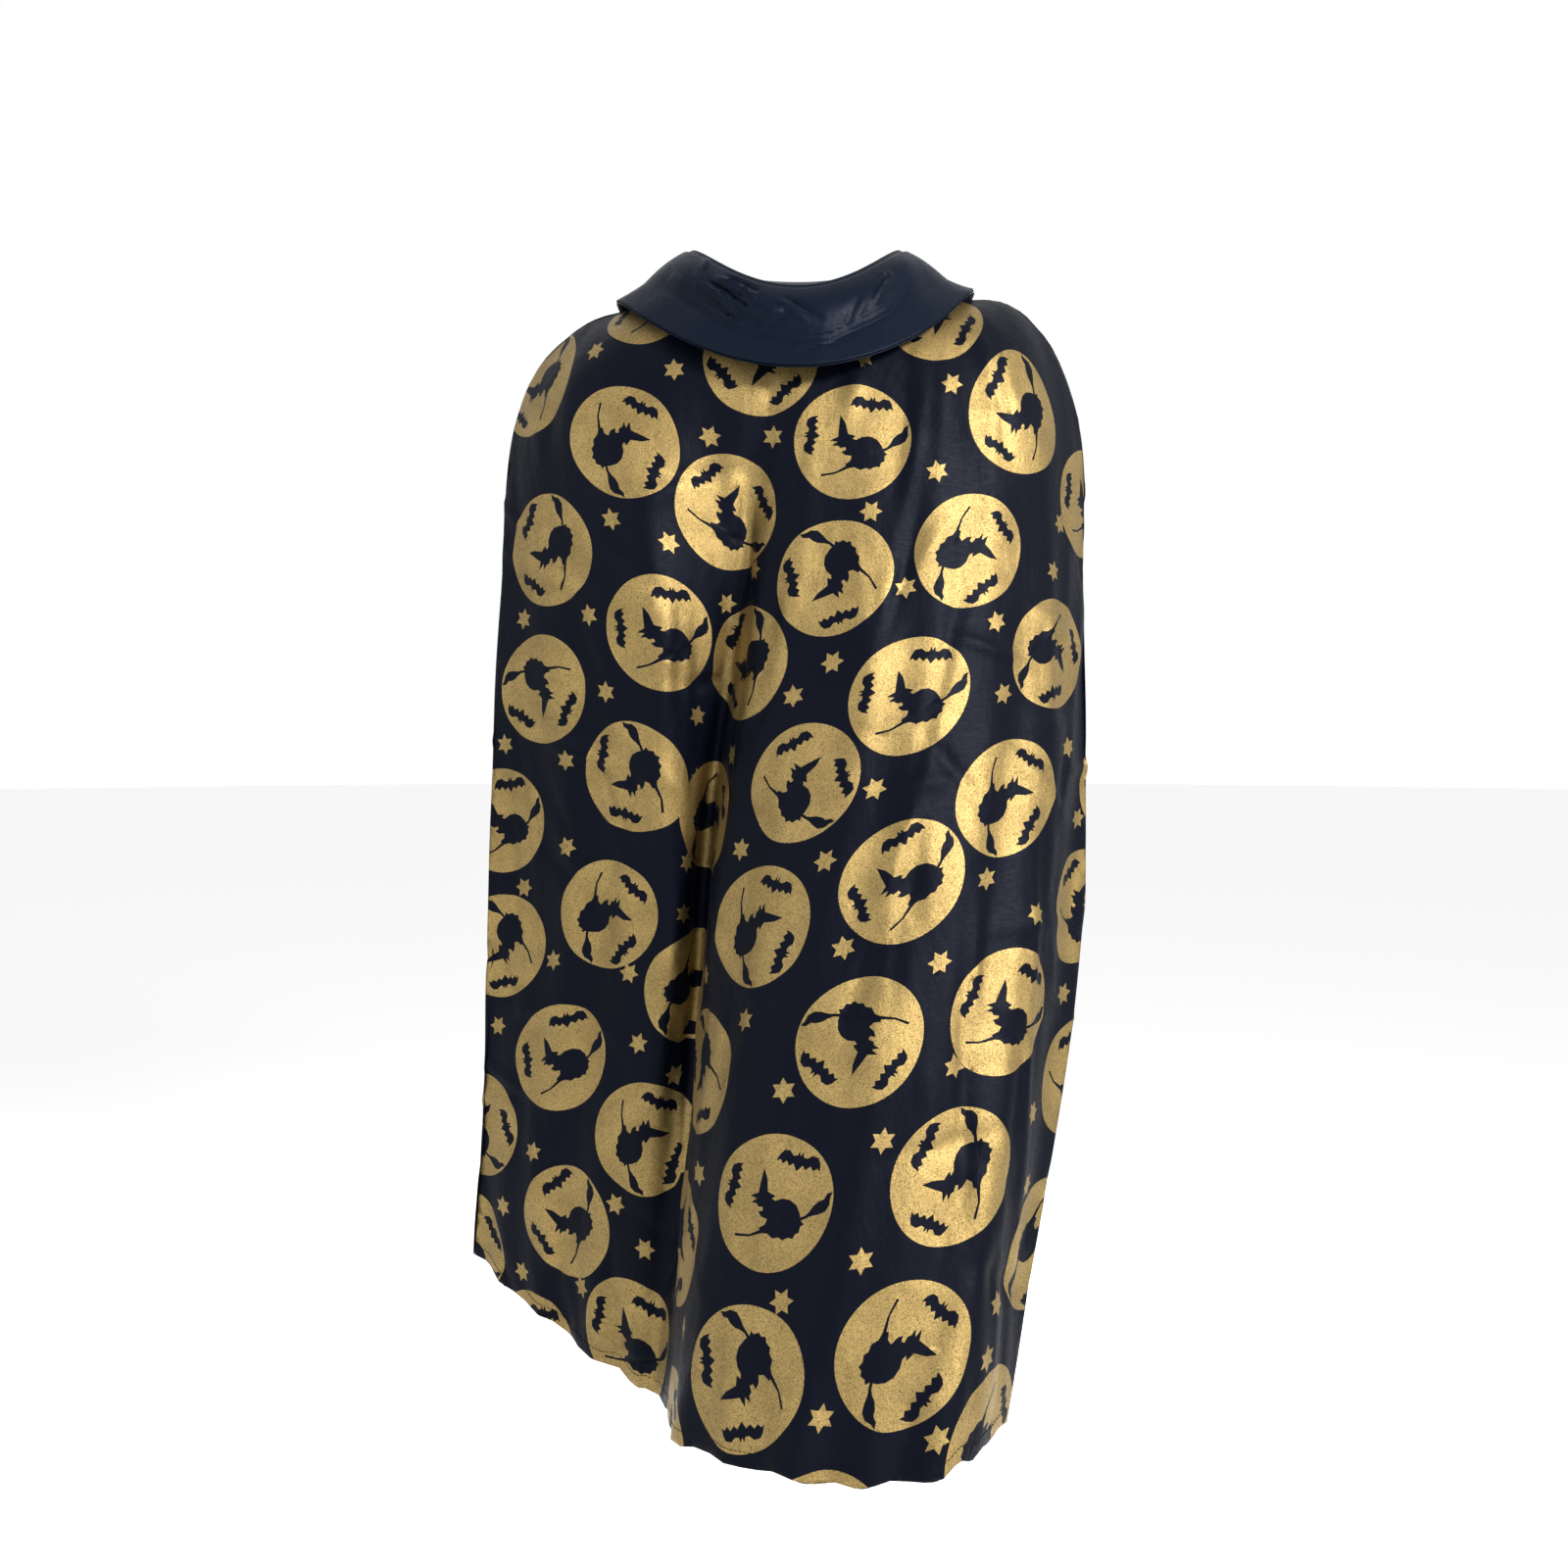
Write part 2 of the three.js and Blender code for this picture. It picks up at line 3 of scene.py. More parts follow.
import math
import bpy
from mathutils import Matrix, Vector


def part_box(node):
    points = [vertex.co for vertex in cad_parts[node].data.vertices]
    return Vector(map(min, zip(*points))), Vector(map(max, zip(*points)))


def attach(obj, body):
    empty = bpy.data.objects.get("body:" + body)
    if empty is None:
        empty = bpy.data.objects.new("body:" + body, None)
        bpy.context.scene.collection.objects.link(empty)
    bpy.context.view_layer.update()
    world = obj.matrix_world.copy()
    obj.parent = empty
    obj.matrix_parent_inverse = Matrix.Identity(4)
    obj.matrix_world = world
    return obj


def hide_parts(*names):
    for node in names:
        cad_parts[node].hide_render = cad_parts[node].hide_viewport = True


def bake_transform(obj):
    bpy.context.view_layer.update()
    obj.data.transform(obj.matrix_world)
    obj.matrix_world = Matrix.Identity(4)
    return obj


bl_info = {
    "name": "Costume Cape",
    "version": (1, 0, 0),
    "blender": (4, 5, 0),
    "location": "3D View > Sidebar > Cape",
    "description": "Builds a hanging costume cape around its packed frame",
    "category": "Add Mesh",
}

import bpy
import numpy as np
from bpy.props import FloatProperty, FloatVectorProperty
from mathutils import Vector
from mathutils.geometry import delaunay_2d_cdt

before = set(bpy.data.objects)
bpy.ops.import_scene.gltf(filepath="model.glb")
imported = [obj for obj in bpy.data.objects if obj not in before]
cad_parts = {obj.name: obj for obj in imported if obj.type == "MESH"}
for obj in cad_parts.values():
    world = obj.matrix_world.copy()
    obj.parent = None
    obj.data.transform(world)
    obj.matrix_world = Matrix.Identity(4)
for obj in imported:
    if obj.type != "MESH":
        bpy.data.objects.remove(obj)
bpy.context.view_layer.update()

# ---- The hanging shape, in metres ---------------------------------------------------------------
# Nine thread lines of the back panel, from the left side seam to the right one. Each row is one
# level below the neck seam, and gives where the thread lines hang there.
THREAD_ROWS = (
    (0.110, ((-0.228, 0.000, -0.100), (-0.185, -0.055, -0.125), (-0.125, -0.072, -0.135),
             (-0.060, -0.076, -0.140), (0.000, -0.080, -0.145), (0.055, -0.080, -0.145),
             (0.115, -0.076, -0.140), (0.180, -0.058, -0.125), (0.232, 0.000, -0.100))),
    (0.300, ((-0.262, 0.000, -0.300), (-0.190, -0.052, -0.300), (-0.120, -0.082, -0.300),
             (-0.058, -0.058, -0.300), (-0.008, -0.086, -0.300), (0.060, -0.098, -0.300),
             (0.125, -0.094, -0.300), (0.200, -0.062, -0.300), (0.256, 0.000, -0.300))),
    (0.600, ((-0.282, 0.040, -0.590), (-0.190, -0.006, -0.600), (-0.120, -0.034, -0.600),
             (-0.086, -0.024, -0.600), (-0.052, -0.104, -0.600), (0.018, -0.150, -0.600),
             (0.095, -0.160, -0.600), (0.175, -0.132, -0.600), (0.238, -0.058, -0.595))),
    (0.940, ((-0.300, 0.058, -0.912), (-0.217, 0.000, -0.948), (-0.142, -0.046, -0.974),
             (-0.110, -0.076, -0.979), (-0.092, -0.186, -0.946), (-0.030, -0.245, -0.935),
             (0.050, -0.262, -0.936), (0.115, -0.248, -0.929), (0.152, -0.190, -0.932))),
)
THREADS = len(THREAD_ROWS[0][1]) - 1
LEVELS = np.array([0.0] + [level for level, _ in THREAD_ROWS])
NECK_SEAM = dict(half=0.088, back=0.070, front=0.070, drop=0.025, back_dip=0.025, front_dip=0.070)
ROLL_LINE = dict(half=0.092, back=0.082, front=0.082, drop=0.0, back_dip=0.057, front_dip=0.078)
COLLAR_EDGE = dict(half=0.158, back=0.104, front=0.108, drop=0.050, back_dip=0.081, front_dip=0.117)
COLLAR_END = math.radians(164)
NECK_OPEN = math.radians(168)
CREASE_TOP = np.array((0.016, 0.080, -0.190))  # right side; the left one mirrors x
CREASE_FOOT = {-1: np.array((-0.135, 0.112, -0.905)), 1: np.array((0.118, 0.112, -0.905))}
FRONT_CORNER = np.array((0.016, 0.100, -0.905))
CREASE_START = 0.190 / 0.905 * 0.86  # share of the front's length where the crease starts
SATIN_THICKNESS = 0.0006


def ring(angle, half, back, front, drop, back_dip, front_dip):
    """Points of a ring round the neck; angle 0 is the centre back and grows towards the right."""
    c = np.cos(angle)
    depth = np.where(c > 0, back, front)
    dip = np.where(c > 0, back_dip, front_dip)
    return np.stack((half * np.sin(angle), -depth * c, -drop - dip * c * c), axis=-1)


def through(knots, values, t):
    """A smooth curve through values at rising knots, for an array of places t."""
    knots = np.asarray(knots, float)
    values = np.asarray(values, float)
    last = len(knots) - 1
    before = np.clip(np.arange(last + 1) - 1, 0, last)
    after = np.clip(np.arange(last + 1) + 1, 0, last)
    shape = (-1,) + (1,) * (values.ndim - 1)
    slopes = (values[after] - values[before]) / (knots[after] - knots[before]).reshape(shape)
    i = np.clip(np.searchsorted(knots, t, side="right") - 1, 0, last - 1)
    h = (knots[i + 1] - knots[i]).reshape(shape)
    f = (t - knots[i]).reshape(shape) / h
    return ((2 * f**3 - 3 * f**2 + 1) * values[i] + (f**3 - 2 * f**2 + f) * h * slopes[i]
            + (3 * f**2 - 2 * f**3) * values[i + 1] + (f**3 - f**2) * h * slopes[i + 1])


# The deep tuck left of the middle: shares of the drop, where it runs there in threads, and its depth.
TUCK = ((0.00, 3.6, 0.000), (0.12, 3.6, 0.001), (0.22, 3.42, 0.011), (0.40, 3.12, 0.016), (0.58, 3.05, 0.020),
        (0.78, 3.20, 0.020), (1.00, 3.35, 0.014))
TUCK_WIDTH = 0.21  # in threads
HEM_RIPPLE_START = 0.90  # share of the drop


def back_points(u, v):
    """The back panel's outer face as a grid: thread places u, 0 to THREADS, by shares v of the drop."""
    rows = [ring(math.pi / 2 * (u / (THREADS / 2) - 1), **NECK_SEAM)]
    stations = np.arange(THREADS + 1)
    rows += [through(stations, points, u) for _, points in THREAD_ROWS]
    points = through(LEVELS, np.stack(rows), v * LEVELS[-1])
    shares, places, depths = np.array(TUCK).T
    middle, depth = through(shares, places, v)[:, None], through(shares, depths, v)[:, None]
    points[..., 1] += depth * np.exp(-((u[None] - middle) / TUCK_WIDTH) ** 2)
    near_hem = smooth_step((v - HEM_RIPPLE_START) / (1 - HEM_RIPPLE_START))[:, None]
    rise = 0.0018 * np.sin(13 * u) * np.sin(1.9 * u + 0.6) + 0.0014 * np.sin(7.3 * u + 1)
    points[..., 2] += near_hem * rise
    points[..., 1] += near_hem * 0.002 * np.sin(10 * u + 2)
    return points


SIDE_BOW_IN = 0.96  # the side's bow, as a share of the seam's distance from the middle
SIDE_BOW_OUT = 0.004  # and this far in front of the crease and the seam
SIDE_PLACES = 61
EDGE_PLACES = 16


def front_points(sign, s, v):
    """A front panel's outer face as a grid, s 0 to 1 from the side seam round to the opening."""
    seam = back_points(np.array([0.0 if sign < 0 else float(THREADS)]), v)[:, 0]
    neck = ring(np.array(sign * NECK_OPEN), **NECK_SEAM)
    top = CREASE_TOP * (sign, 1, 1)
    corner = FRONT_CORNER * (sign, 1, 1)
    opened = np.clip((v - CREASE_START) / (1 - CREASE_START), 0, 1)[:, None]
    down = np.clip(v / CREASE_START, 0, 1)[:, None]
    crease = neck + (top - neck) * down + (CREASE_FOOT[sign] - top) * opened
    edge = neck + (top - neck) * down + (corner - top) * opened
    bow = np.stack((seam[:, 0] * SIDE_BOW_IN, np.maximum(crease[:, 1], seam[:, 1]) + SIDE_BOW_OUT,
                    (seam[:, 2] + crease[:, 2]) / 2), axis=-1)
    a = np.linspace(0, 1, SIDE_PLACES)[None, :, None]
    side = (1 - a) ** 2 * seam[:, None] + 2 * a * (1 - a) * bow[:, None] + a * a * crease[:, None]
    b = np.linspace(0, 1, EDGE_PLACES)[None, 1:, None]
    flat = crease[:, None] + (edge - crease)[:, None] * b
    path = np.concatenate((side, flat), axis=1)
    return np.stack([resample(row, s) for row in path])


def lengths_along(points):
    """The length walked from a path's start to each of its points."""
    steps = np.linalg.norm(np.diff(points, axis=0), axis=1)
    return np.concatenate(([0.0], np.cumsum(steps)))


def on_path(s, length, points):
    """The points of a path at lengths s along it."""
    return np.stack([np.interp(s, length, points[:, k]) for k in range(3)], axis=-1)


def resample(points, s):
    """The points at shares s of a path's length."""
    length = lengths_along(points)
    return on_path(s * length[-1], length, points)


def grid_normals(points, turn):
    """Unit normals of a grid of points; turn is 1 or -1, so that they point outwards."""
    down = np.gradient(points, axis=0)
    along = np.gradient(points, axis=1)
    normals = np.cross(down, along) * turn
    length = np.linalg.norm(normals, axis=-1, keepdims=True)
    return normals / np.maximum(length, 1e-12)


def smooth_step(t):
    t = np.clip(t, 0, 1)
    return t * t * (3 - 2 * t)


# Where the shoulders sit higher, being held up there: middle across and in height, half-widths, and the rise.
SHOULDER_RISES = ((0.190, -0.070, 0.050, 0.060, 0.024), (-0.185, -0.055, 0.035, 0.035, 0.008))


def held_up(points):
    x, z = points[..., 0], points[..., 2]
    rise = sum(height * np.exp(-((x - across) / wide) ** 2 - ((z - level) / tall) ** 2)
               for across, level, wide, tall, height in SHOULDER_RISES)
    return np.stack((x, points[..., 1], z + rise), axis=-1)


# ---- Cloth panels ---------------------------------------------------------------------------------
COARSE_STEP = 6  # grid places between the ones from which a search starts
SEARCH_ROUNDS = 12
NUDGE = 0.01  # grid places, to feel how the pattern changes
LONGEST_MOVE = 12  # grid places in one round


class Drape:
    """A panel as it hangs, and the flat pattern that it was cut to."""

    def __init__(self, points, turn, reference, creases):
        self.flat = flat_pattern(points, reference)
        points = held_up(points)
        normals = grid_normals(points, turn)
        self.points = points + normals * relief(self.flat, creases)[..., None]
        self.normals = grid_normals(self.points, turn)
        self.data = pad(np.concatenate((self.points, self.normals), axis=-1))
        self.chart = pad(self.flat)

    def locate(self, xy):
        """The grid places whose flat pattern places are xy."""
        rows, columns = self.flat.shape[:2]
        coarse = self.flat[::COARSE_STEP, ::COARSE_STEP]
        nodes = coarse.reshape(-1, 2)
        gap = ((xy[:, None] - nodes[None]) ** 2).sum(axis=2).argmin(axis=1)
        place = np.stack((gap % coarse.shape[1], gap // coarse.shape[1]), axis=-1) * float(COARSE_STEP)
        limit = np.array((columns - 1.0, rows - 1.0))
        for _ in range(SEARCH_ROUNDS):
            here = sample(self.chart, place)
            du = sample(self.chart, place + (NUDGE, 0)) - here
            dv = sample(self.chart, place + (0, NUDGE)) - here
            miss = xy - here
            det = du[:, 0] * dv[:, 1] - du[:, 1] * dv[:, 0]
            det = np.where(np.abs(det) < 1e-14, 1e-14, det)
            move = np.stack((miss[:, 0] * dv[:, 1] - miss[:, 1] * dv[:, 0],
                             miss[:, 1] * du[:, 0] - miss[:, 0] * du[:, 1]), axis=-1)
            move = move / det[:, None] * NUDGE
            place = np.clip(place + np.clip(move, -LONGEST_MOVE, LONGEST_MOVE), 0, limit)
        return place

    def at(self, place):
        """Points and outward normals at grid places."""
        data = sample(self.data, place)
        normals = data[:, 3:]
        return data[:, :3], normals / np.linalg.norm(normals, axis=1, keepdims=True)


def flat_pattern(points, reference):
    """Flat pattern places of a grid: across from the reference thread, and down."""
    across = np.linalg.norm(np.diff(points[..., :2], axis=1), axis=-1)
    x = np.concatenate((np.zeros((len(points), 1)), np.cumsum(across, axis=1)), axis=1)
    x -= x[:, reference:reference + 1]
    fall = np.linalg.norm(np.diff(points[..., 1:], axis=0), axis=-1)
    y = np.concatenate((np.zeros((1, points.shape[1])), np.cumsum(fall, axis=0)), axis=0)
    y = y - points[0, :, 2]
    return np.stack((x, -y), axis=-1)


def pad(grid):
    """The grid with one more row and column on every side, carried straight on."""
    grid = np.concatenate((2 * grid[:1] - grid[1:2], grid, 2 * grid[-1:] - grid[-2:-1]), axis=0)
    return np.concatenate((2 * grid[:, :1] - grid[:, 1:2], grid, 2 * grid[:, -1:] - grid[:, -2:-1]), axis=1)


def cubic_weights(f):
    return np.stack((-0.5 * f**3 + f**2 - 0.5 * f, 1.5 * f**3 - 2.5 * f**2 + 1,
                     -1.5 * f**3 + 2 * f**2 + 0.5 * f, 0.5 * f**3 - 0.5 * f**2), axis=-1)


def sample(grid, place):
    """Smooth values of a padded grid at places (column, row)."""
    rows, columns = grid.shape[0] - 2, grid.shape[1] - 2
    i = np.clip(np.floor(place[:, 0]).astype(int), 0, columns - 2)
    j = np.clip(np.floor(place[:, 1]).astype(int), 0, rows - 2)
    wu = cubic_weights(place[:, 0] - i)
    wv = cubic_weights(place[:, 1] - j)
    out = np.zeros((len(place), grid.shape[2]))
    for b in range(4):
        for a in range(4):
            out += (wu[:, a] * wv[:, b])[:, None] * grid[j + b, i + a]
    return out


def relief(flat, creases):
    """How far the cloth stands out over the grid: soft waves, and creases from being folded away."""
    x, y = flat[..., 0], flat[..., 1]
    low = smooth_step((-y - 0.08) / 0.5)
    height = 0.0022 * low * np.sin(x * 62 + 3.1 * np.sin(y * 3.3) + 0.7)
    height += 0.0012 * np.sin(x * 118 + 2.0 * np.sin(y * 5.1 + 1.3)) * (0.35 + 0.65 * low)
    height += 0.0010 * np.sin(y * 41 + 5 * x) * np.sin(x * 23 + 1.7) * low
    for cx, cy, angle, length, width, rise in creases:
        dx, dy = x - cx, y - cy
        along = (dx * math.cos(angle) + dy * math.sin(angle)) / length
        off = (dy * math.cos(angle) - dx * math.sin(angle)) / width
        height += rise * np.exp(-off * off) * np.clip(1 - along * along, 0, 1) ** 2
    return height


def crease_rise(rng):
    return rng.uniform(0.0010, 0.0030) * rng.choice((-1, 1))


def scattered_creases(seed, count, low, high):
    """Faint creases strewn over a patch of the flat pattern: middle, angle, half-length, width and rise."""
    rng = np.random.default_rng(seed)
    creases = []
    for _ in range(count):
        cx = rng.uniform(low[0], high[0])
        cy = rng.uniform(low[1], high[1])
        angle = rng.choice((0.15, -0.5, 1.2, 1.57, -1.1)) + rng.uniform(-0.35, 0.35)
        creases.append((cx, cy, angle, rng.uniform(0.03, 0.11), rng.uniform(0.004, 0.009), crease_rise(rng)))
    return creases


def hanging_creases(seed, count, low, high):
    """Long, narrow creases that run down the cloth."""
    rng = np.random.default_rng(seed)
    creases = []
    for _ in range(count):
        cx = rng.uniform(low[0], high[0])
        cy = rng.uniform(low[1], high[1])
        angle = math.pi / 2 + rng.uniform(-0.16, 0.16)
        creases.append((cx, cy, angle, rng.uniform(0.06, 0.20), rng.uniform(0.005, 0.011), crease_rise(rng)))
    return creases


# ---- The print ------------------------------------------------------------------------------------
# Motifs are drawn in shares of a moon's radius, facing left and upright.
FLYER = ((-0.22, 0.47), (-0.13, 0.33), (-0.08, 0.14), (0.05, 0.10), (0.00, 0.05), (0.06, 0.03), (0.17, 0.08),
         (0.30, 0.08), (0.42, 0.02), (0.50, -0.09), (0.54, -0.19), (0.60, -0.23), (0.55, -0.27),
         (0.55, -0.36), (0.49, -0.39), (0.47, -0.46), (0.39, -0.45), (0.31, -0.50), (0.24, -0.47),
         (0.14, -0.50), (0.04, -0.45), (-0.08, -0.46), (-0.12, -0.39), (-0.03, -0.33), (-0.01, -0.25),
         (-0.12, -0.23), (-0.19, -0.17), (-0.11, -0.14), (-0.12, -0.09), (-0.21, -0.10), (-0.25, -0.06),
         (-0.35, -0.06), (-0.26, 0.01), (-0.39, 0.03), (-0.25, 0.10), (-0.24, 0.27))
BRISTLES = ((0.62, -0.14), (0.70, -0.10), (0.80, -0.07), (0.90, -0.02), (0.95, 0.08), (0.94, 0.19),
            (0.96, 0.27), (0.88, 0.24), (0.84, 0.15), (0.76, 0.11), (0.69, 0.04), (0.65, -0.04),
            (0.60, -0.10))
HANDLE = ((-0.53, -0.55), (-0.52, -0.59), (-0.28, -0.55), (-0.08, -0.47), (0.25, -0.34), (0.63, -0.14),
          (0.61, -0.10), (0.22, -0.29), (-0.10, -0.42), (-0.29, -0.52))
HALF_BAT = ((0.00, 0.11), (0.045, 0.20), (0.07, 0.10), (0.15, 0.09), (0.25, 0.17), (0.39, 0.15),
            (0.46, 0.05), (0.50, -0.10), (0.42, -0.05), (0.35, -0.12), (0.27, -0.04), (0.18, -0.13),
            (0.10, -0.06), (0.00, -0.20))
BAT = HALF_BAT + tuple((-x, y) for x, y in HALF_BAT[-2:0:-1])
BATS = ((0.32, 0.64, -6, 0.74), (-0.70, 0.13, 84, 0.70))  # x, y, turn in degrees, wingspan
STAR_POINTS = 6
STAR_NOTCH = 0.56  # share of a star's radius at its inner corners
DISC_CORNERS = 60
# Moons on the back: centimetres across from its middle thread and down from the collar's top, and turns.
BACK_MOONS = (
    (-13.5, 5.3, 30), (12.1, 7.2, 145), (-3, 11.5, 138), (-24.7, 12, 60), (19.1, 16.6, 65),
    (-14.7, 18.7, -111), (4.7, 18.7, 0), (29.5, 22, 0), (-6.3, 24.2, -50), (-23.8, 27.1, 60), (15, 28, -132),
    (3.9, 30, 115), (-13.5, 34.5, 5), (24.7, 36.2, -150), (-3.8, 36.8, 65), (-25.9, 38.9, 155),
    (11.5, 40, 6), (37, 46.5, 0), (4, 46.7, -58), (-17, 46.8, 82), (21.5, 48.5, -108), (-8.6, 50.3, -140),
    (-31.5, 50.5, 10), (13.7, 54.8, 38), (34, 57.5, -45), (2.3, 58, -100), (-20, 59, -125),
    (-31.4, 62.1, 108), (-11.2, 65, -137), (23.8, 65.4, -15), (12.3, 66.7, 150), (-3.1, 70, 120),
    (35.5, 71.6, -60), (-23.9, 72, 18), (20.7, 76.9, 72), (-14.6, 78, -100), (7.1, 78.2, -5), (-33, 79, -60),
    (-5.3, 83.5, -140), (32.5, 84, -150), (-22.4, 86.4, 44), (18.1, 88.3, -125), (-35.5, 90, -45),
    (6.6, 90, 108), (-15.7, 94.7, -12), (26.5, 95.8, -150), (-2.8, 97, 0), (-27.5, 98, 0), (13.5, 100, 0),
)
BACK_STARS = (
    (-17.5, 10.5), (5.5, 11.4), (-10.2, 12.5), (12.9, 14.1), (-7.3, 18), (-2, 18), (11.7, 21.4), (6.4, 24.6),
    (24.8, 24.6), (-16.7, 25.2), (-12, 27), (-3.7, 29), (23.9, 29), (9.8, 31), (-7, 31.8), (-27.7, 32.5),
    (-20, 33), (17.9, 34), (4.8, 37), (-19, 39.5), (2, 39.6), (19.5, 40), (-10.5, 41.3), (-30.8, 43.5),
    (28.4, 44), (-4.3, 44.5), (-23.6, 45.3), (-10.8, 46.7), (10.1, 47.4), (32.5, 50), (-1, 52), (-24, 53),
    (7.4, 53), (-12.6, 54), (20.6, 55), (-29.3, 56.7), (25.6, 58), (-13, 58.5), (10, 59.7), (17.6, 61.2),
    (-5.5, 63), (-25.5, 63.3), (-17.6, 64), (32.8, 64.7), (2.5, 65.3), (19.9, 69), (-31.2, 69.6), (-16, 70),
    (7, 70.3), (-12.3, 72.5), (28.6, 73.5), (15, 73.9), (-1.5, 77.5), (29.2, 79), (-26, 80.6), (14.4, 82),
    (-17, 84), (8.9, 84.8), (-30, 86), (26, 86.6), (-14, 87.2), (-1, 88.5), (25, 90), (-21, 91.7),
    (-28.5, 91.7), (12.8, 92), (21, 94),
)


def turned(points, degrees, scale=1.0, at=(0, 0)):
    c = math.cos(math.radians(degrees)) * scale
    s = math.sin(math.radians(degrees)) * scale
    return [(at[0] + c * x - s * y, at[1] + s * x + c * y) for x, y in points]


def moon_outlines(x, y, degrees, radius):
    """One moon's disc and the dark shapes on it."""
    angles = np.linspace(0, 2 * math.pi, DISC_CORNERS + 1)[:-1]
    disc = [(math.cos(a) * (1 + 0.012 * math.sin(3 * a)), math.sin(a)) for a in angles]
    dark = [FLYER, BRISTLES, HANDLE]
    dark += [turned(BAT, turn, span, (bx, by)) for bx, by, turn, span in BATS]
    return turned(disc, degrees, radius, (x, y)), [turned(shape, degrees, radius, (x, y)) for shape in dark]


def star_outline(x, y, degrees, radius):
    """One star's outline."""
    points = []
    for k in range(2 * STAR_POINTS):
        reach = radius * (1 if k % 2 == 0 else STAR_NOTCH)
        angle = math.radians(degrees) + math.pi * k / STAR_POINTS
        points.append((x + reach * math.cos(angle), y + reach * math.sin(angle)))
    return points


SHAKE = 0.05  # share of the pitch by which a tossed moon leaves its place
ROW_SHARE = 0.92  # of the pitch, from one row of moons to the next
STAR_TRIES = 6000
STAR_CLEARANCE = 0.014  # round a moon, to a star's middle
STAR_PITCH = 0.046


def tossed_moons(seed, low, high, pitch):
    """A staggered, shaken layout of moons over a patch of the pattern."""
    rng = np.random.default_rng(seed)
    moons = []
    row = 0
    y = low[1]
    while y < high[1]:
        x = low[0] + (row % 2) * pitch / 2
        while x < high[0]:
            shake = rng.uniform(-SHAKE, SHAKE, 2) * pitch
            moons.append((x + shake[0], y + shake[1], rng.uniform(0, 360)))
            x += pitch
        y += pitch * ROW_SHARE
        row += 1
    return moons


def stars_between(seed, moons, low, high, clear, pitch):
    """Stars strewn in the gaps between the moons."""
    rng = np.random.default_rng(seed)
    centres = np.array([m[:2] for m in moons])
    stars = []
    for _ in range(STAR_TRIES):
        x, y = rng.uniform(low, high)
        if np.min(np.hypot(centres[:, 0] - x, centres[:, 1] - y)) < clear:
            continue
        if stars and min(math.hypot(x - s[0], y - s[1]) for s in stars) < pitch:
            continue
        stars.append((x, y, rng.uniform(0, 60)))
    return stars


def inside(points, outline):
    """Which points lie inside a closed outline."""
    x, y = points[:, 0], points[:, 1]
    hit = np.zeros(len(points), bool)
    previous = outline[-1]
    for here in outline:
        (x0, y0), (x1, y1) = previous, here
        crosses = (y0 > y) != (y1 > y)
        if crosses.any():
            edge = x0 + (y - y0) * (x1 - x0) / ((y1 - y0) if y1 != y0 else 1e-12)
            hit ^= crosses & (x < edge)
        previous = here
    return hit


def signed_area(outline):
    return sum(a[0] * b[1] - b[0] * a[1] for a, b in zip(outline, outline[1:] + outline[:1])) / 2


BORDER_STEP = 4  # grid places from one border point of a panel to the next
ROW_HEIGHT = 0.87  # of the cloth's own points, as a share of their spacing
EDGE_GAP = 0.35  # they stay this share of their spacing clear of the print's edges
CHUNK = 2000  # edge points measured at a time


def print_shapes(border, moons, stars, moon_radius, star_radius):
    """Closed outlines of a panel and its print, each with its kind."""
    low, high = border.min(axis=0) - moon_radius, border.max(axis=0) + moon_radius
    shapes = [([tuple(p) for p in border], "panel")]
    for x, y, degrees in moons:
        if low[0] < x < high[0] and low[1] < y < high[1]:
            disc, dark = moon_outlines(x, y, degrees, moon_radius)
            shapes.append((disc, "gold"))
            shapes += [(shape, "dark") for shape in dark]
    shapes += [(star_outline(x, y, degrees, star_radius), "gold") for x, y, degrees in stars]
    return [(shape[::-1] if signed_area(shape) < 0 else shape, kind) for shape, kind in shapes]


def cloth_points(border, edge_points, fill):
    """Staggered points over a panel, clear of every edge."""
    low, high = border.min(axis=0), border.max(axis=0)
    gx = np.arange(low[0], high[0], fill)
    gy = np.arange(low[1], high[1], fill * ROW_HEIGHT)
    grid = np.array([(x + (fill / 2 if k % 2 else 0), y) for k, y in enumerate(gy) for x in gx])
    grid = grid[inside(grid, [tuple(p) for p in border])]
    keep = np.ones(len(grid), bool)
    for start in range(0, len(edge_points), CHUNK):
        chunk = edge_points[start:start + CHUNK]
        near = ((grid[:, None] - chunk[None]) ** 2).sum(axis=2).min(axis=1)
        keep &= near > (fill * EDGE_GAP) ** 2
    return [tuple(p) for p in grid[keep]]


def cut_panel(drape, moons, stars, moon_radius, star_radius, fill):
    """Triangles of the flat pattern, split along the print, and which of them are gold."""
    border = np.concatenate((drape.flat[0, :-1:BORDER_STEP], drape.flat[:-1:BORDER_STEP, -1],
                             drape.flat[-1, :0:-BORDER_STEP], drape.flat[:0:-BORDER_STEP, 0]))
    shapes = print_shapes(border, moons, stars, moon_radius, star_radius)
    points, loops = [], []
    for shape, _ in shapes:
        loops.append(list(range(len(points), len(points) + len(shape))))
        points += shape
    points += cloth_points(border, np.array(points), fill)
    verts, _, faces, _, _, face_ids = delaunay_2d_cdt([Vector(p) for p in points], [], loops, 1, 1e-6)
    triangles, gold = [], []
    for face, ids in zip(faces, face_ids):
        names = {shapes[i][1] for i in ids}
        if "panel" not in names:
            continue
        triangles.append(tuple(face))
        gold.append("gold" in names and "dark" not in names)
    return np.array([tuple(v) for v in verts]), triangles, gold


# ---- Materials --------------------------------------------------------------------------------------
A_COLOUR, B_COLOUR, MIX_RESULT = 6, 7, 2  # the Mix node's sockets when it mixes colours


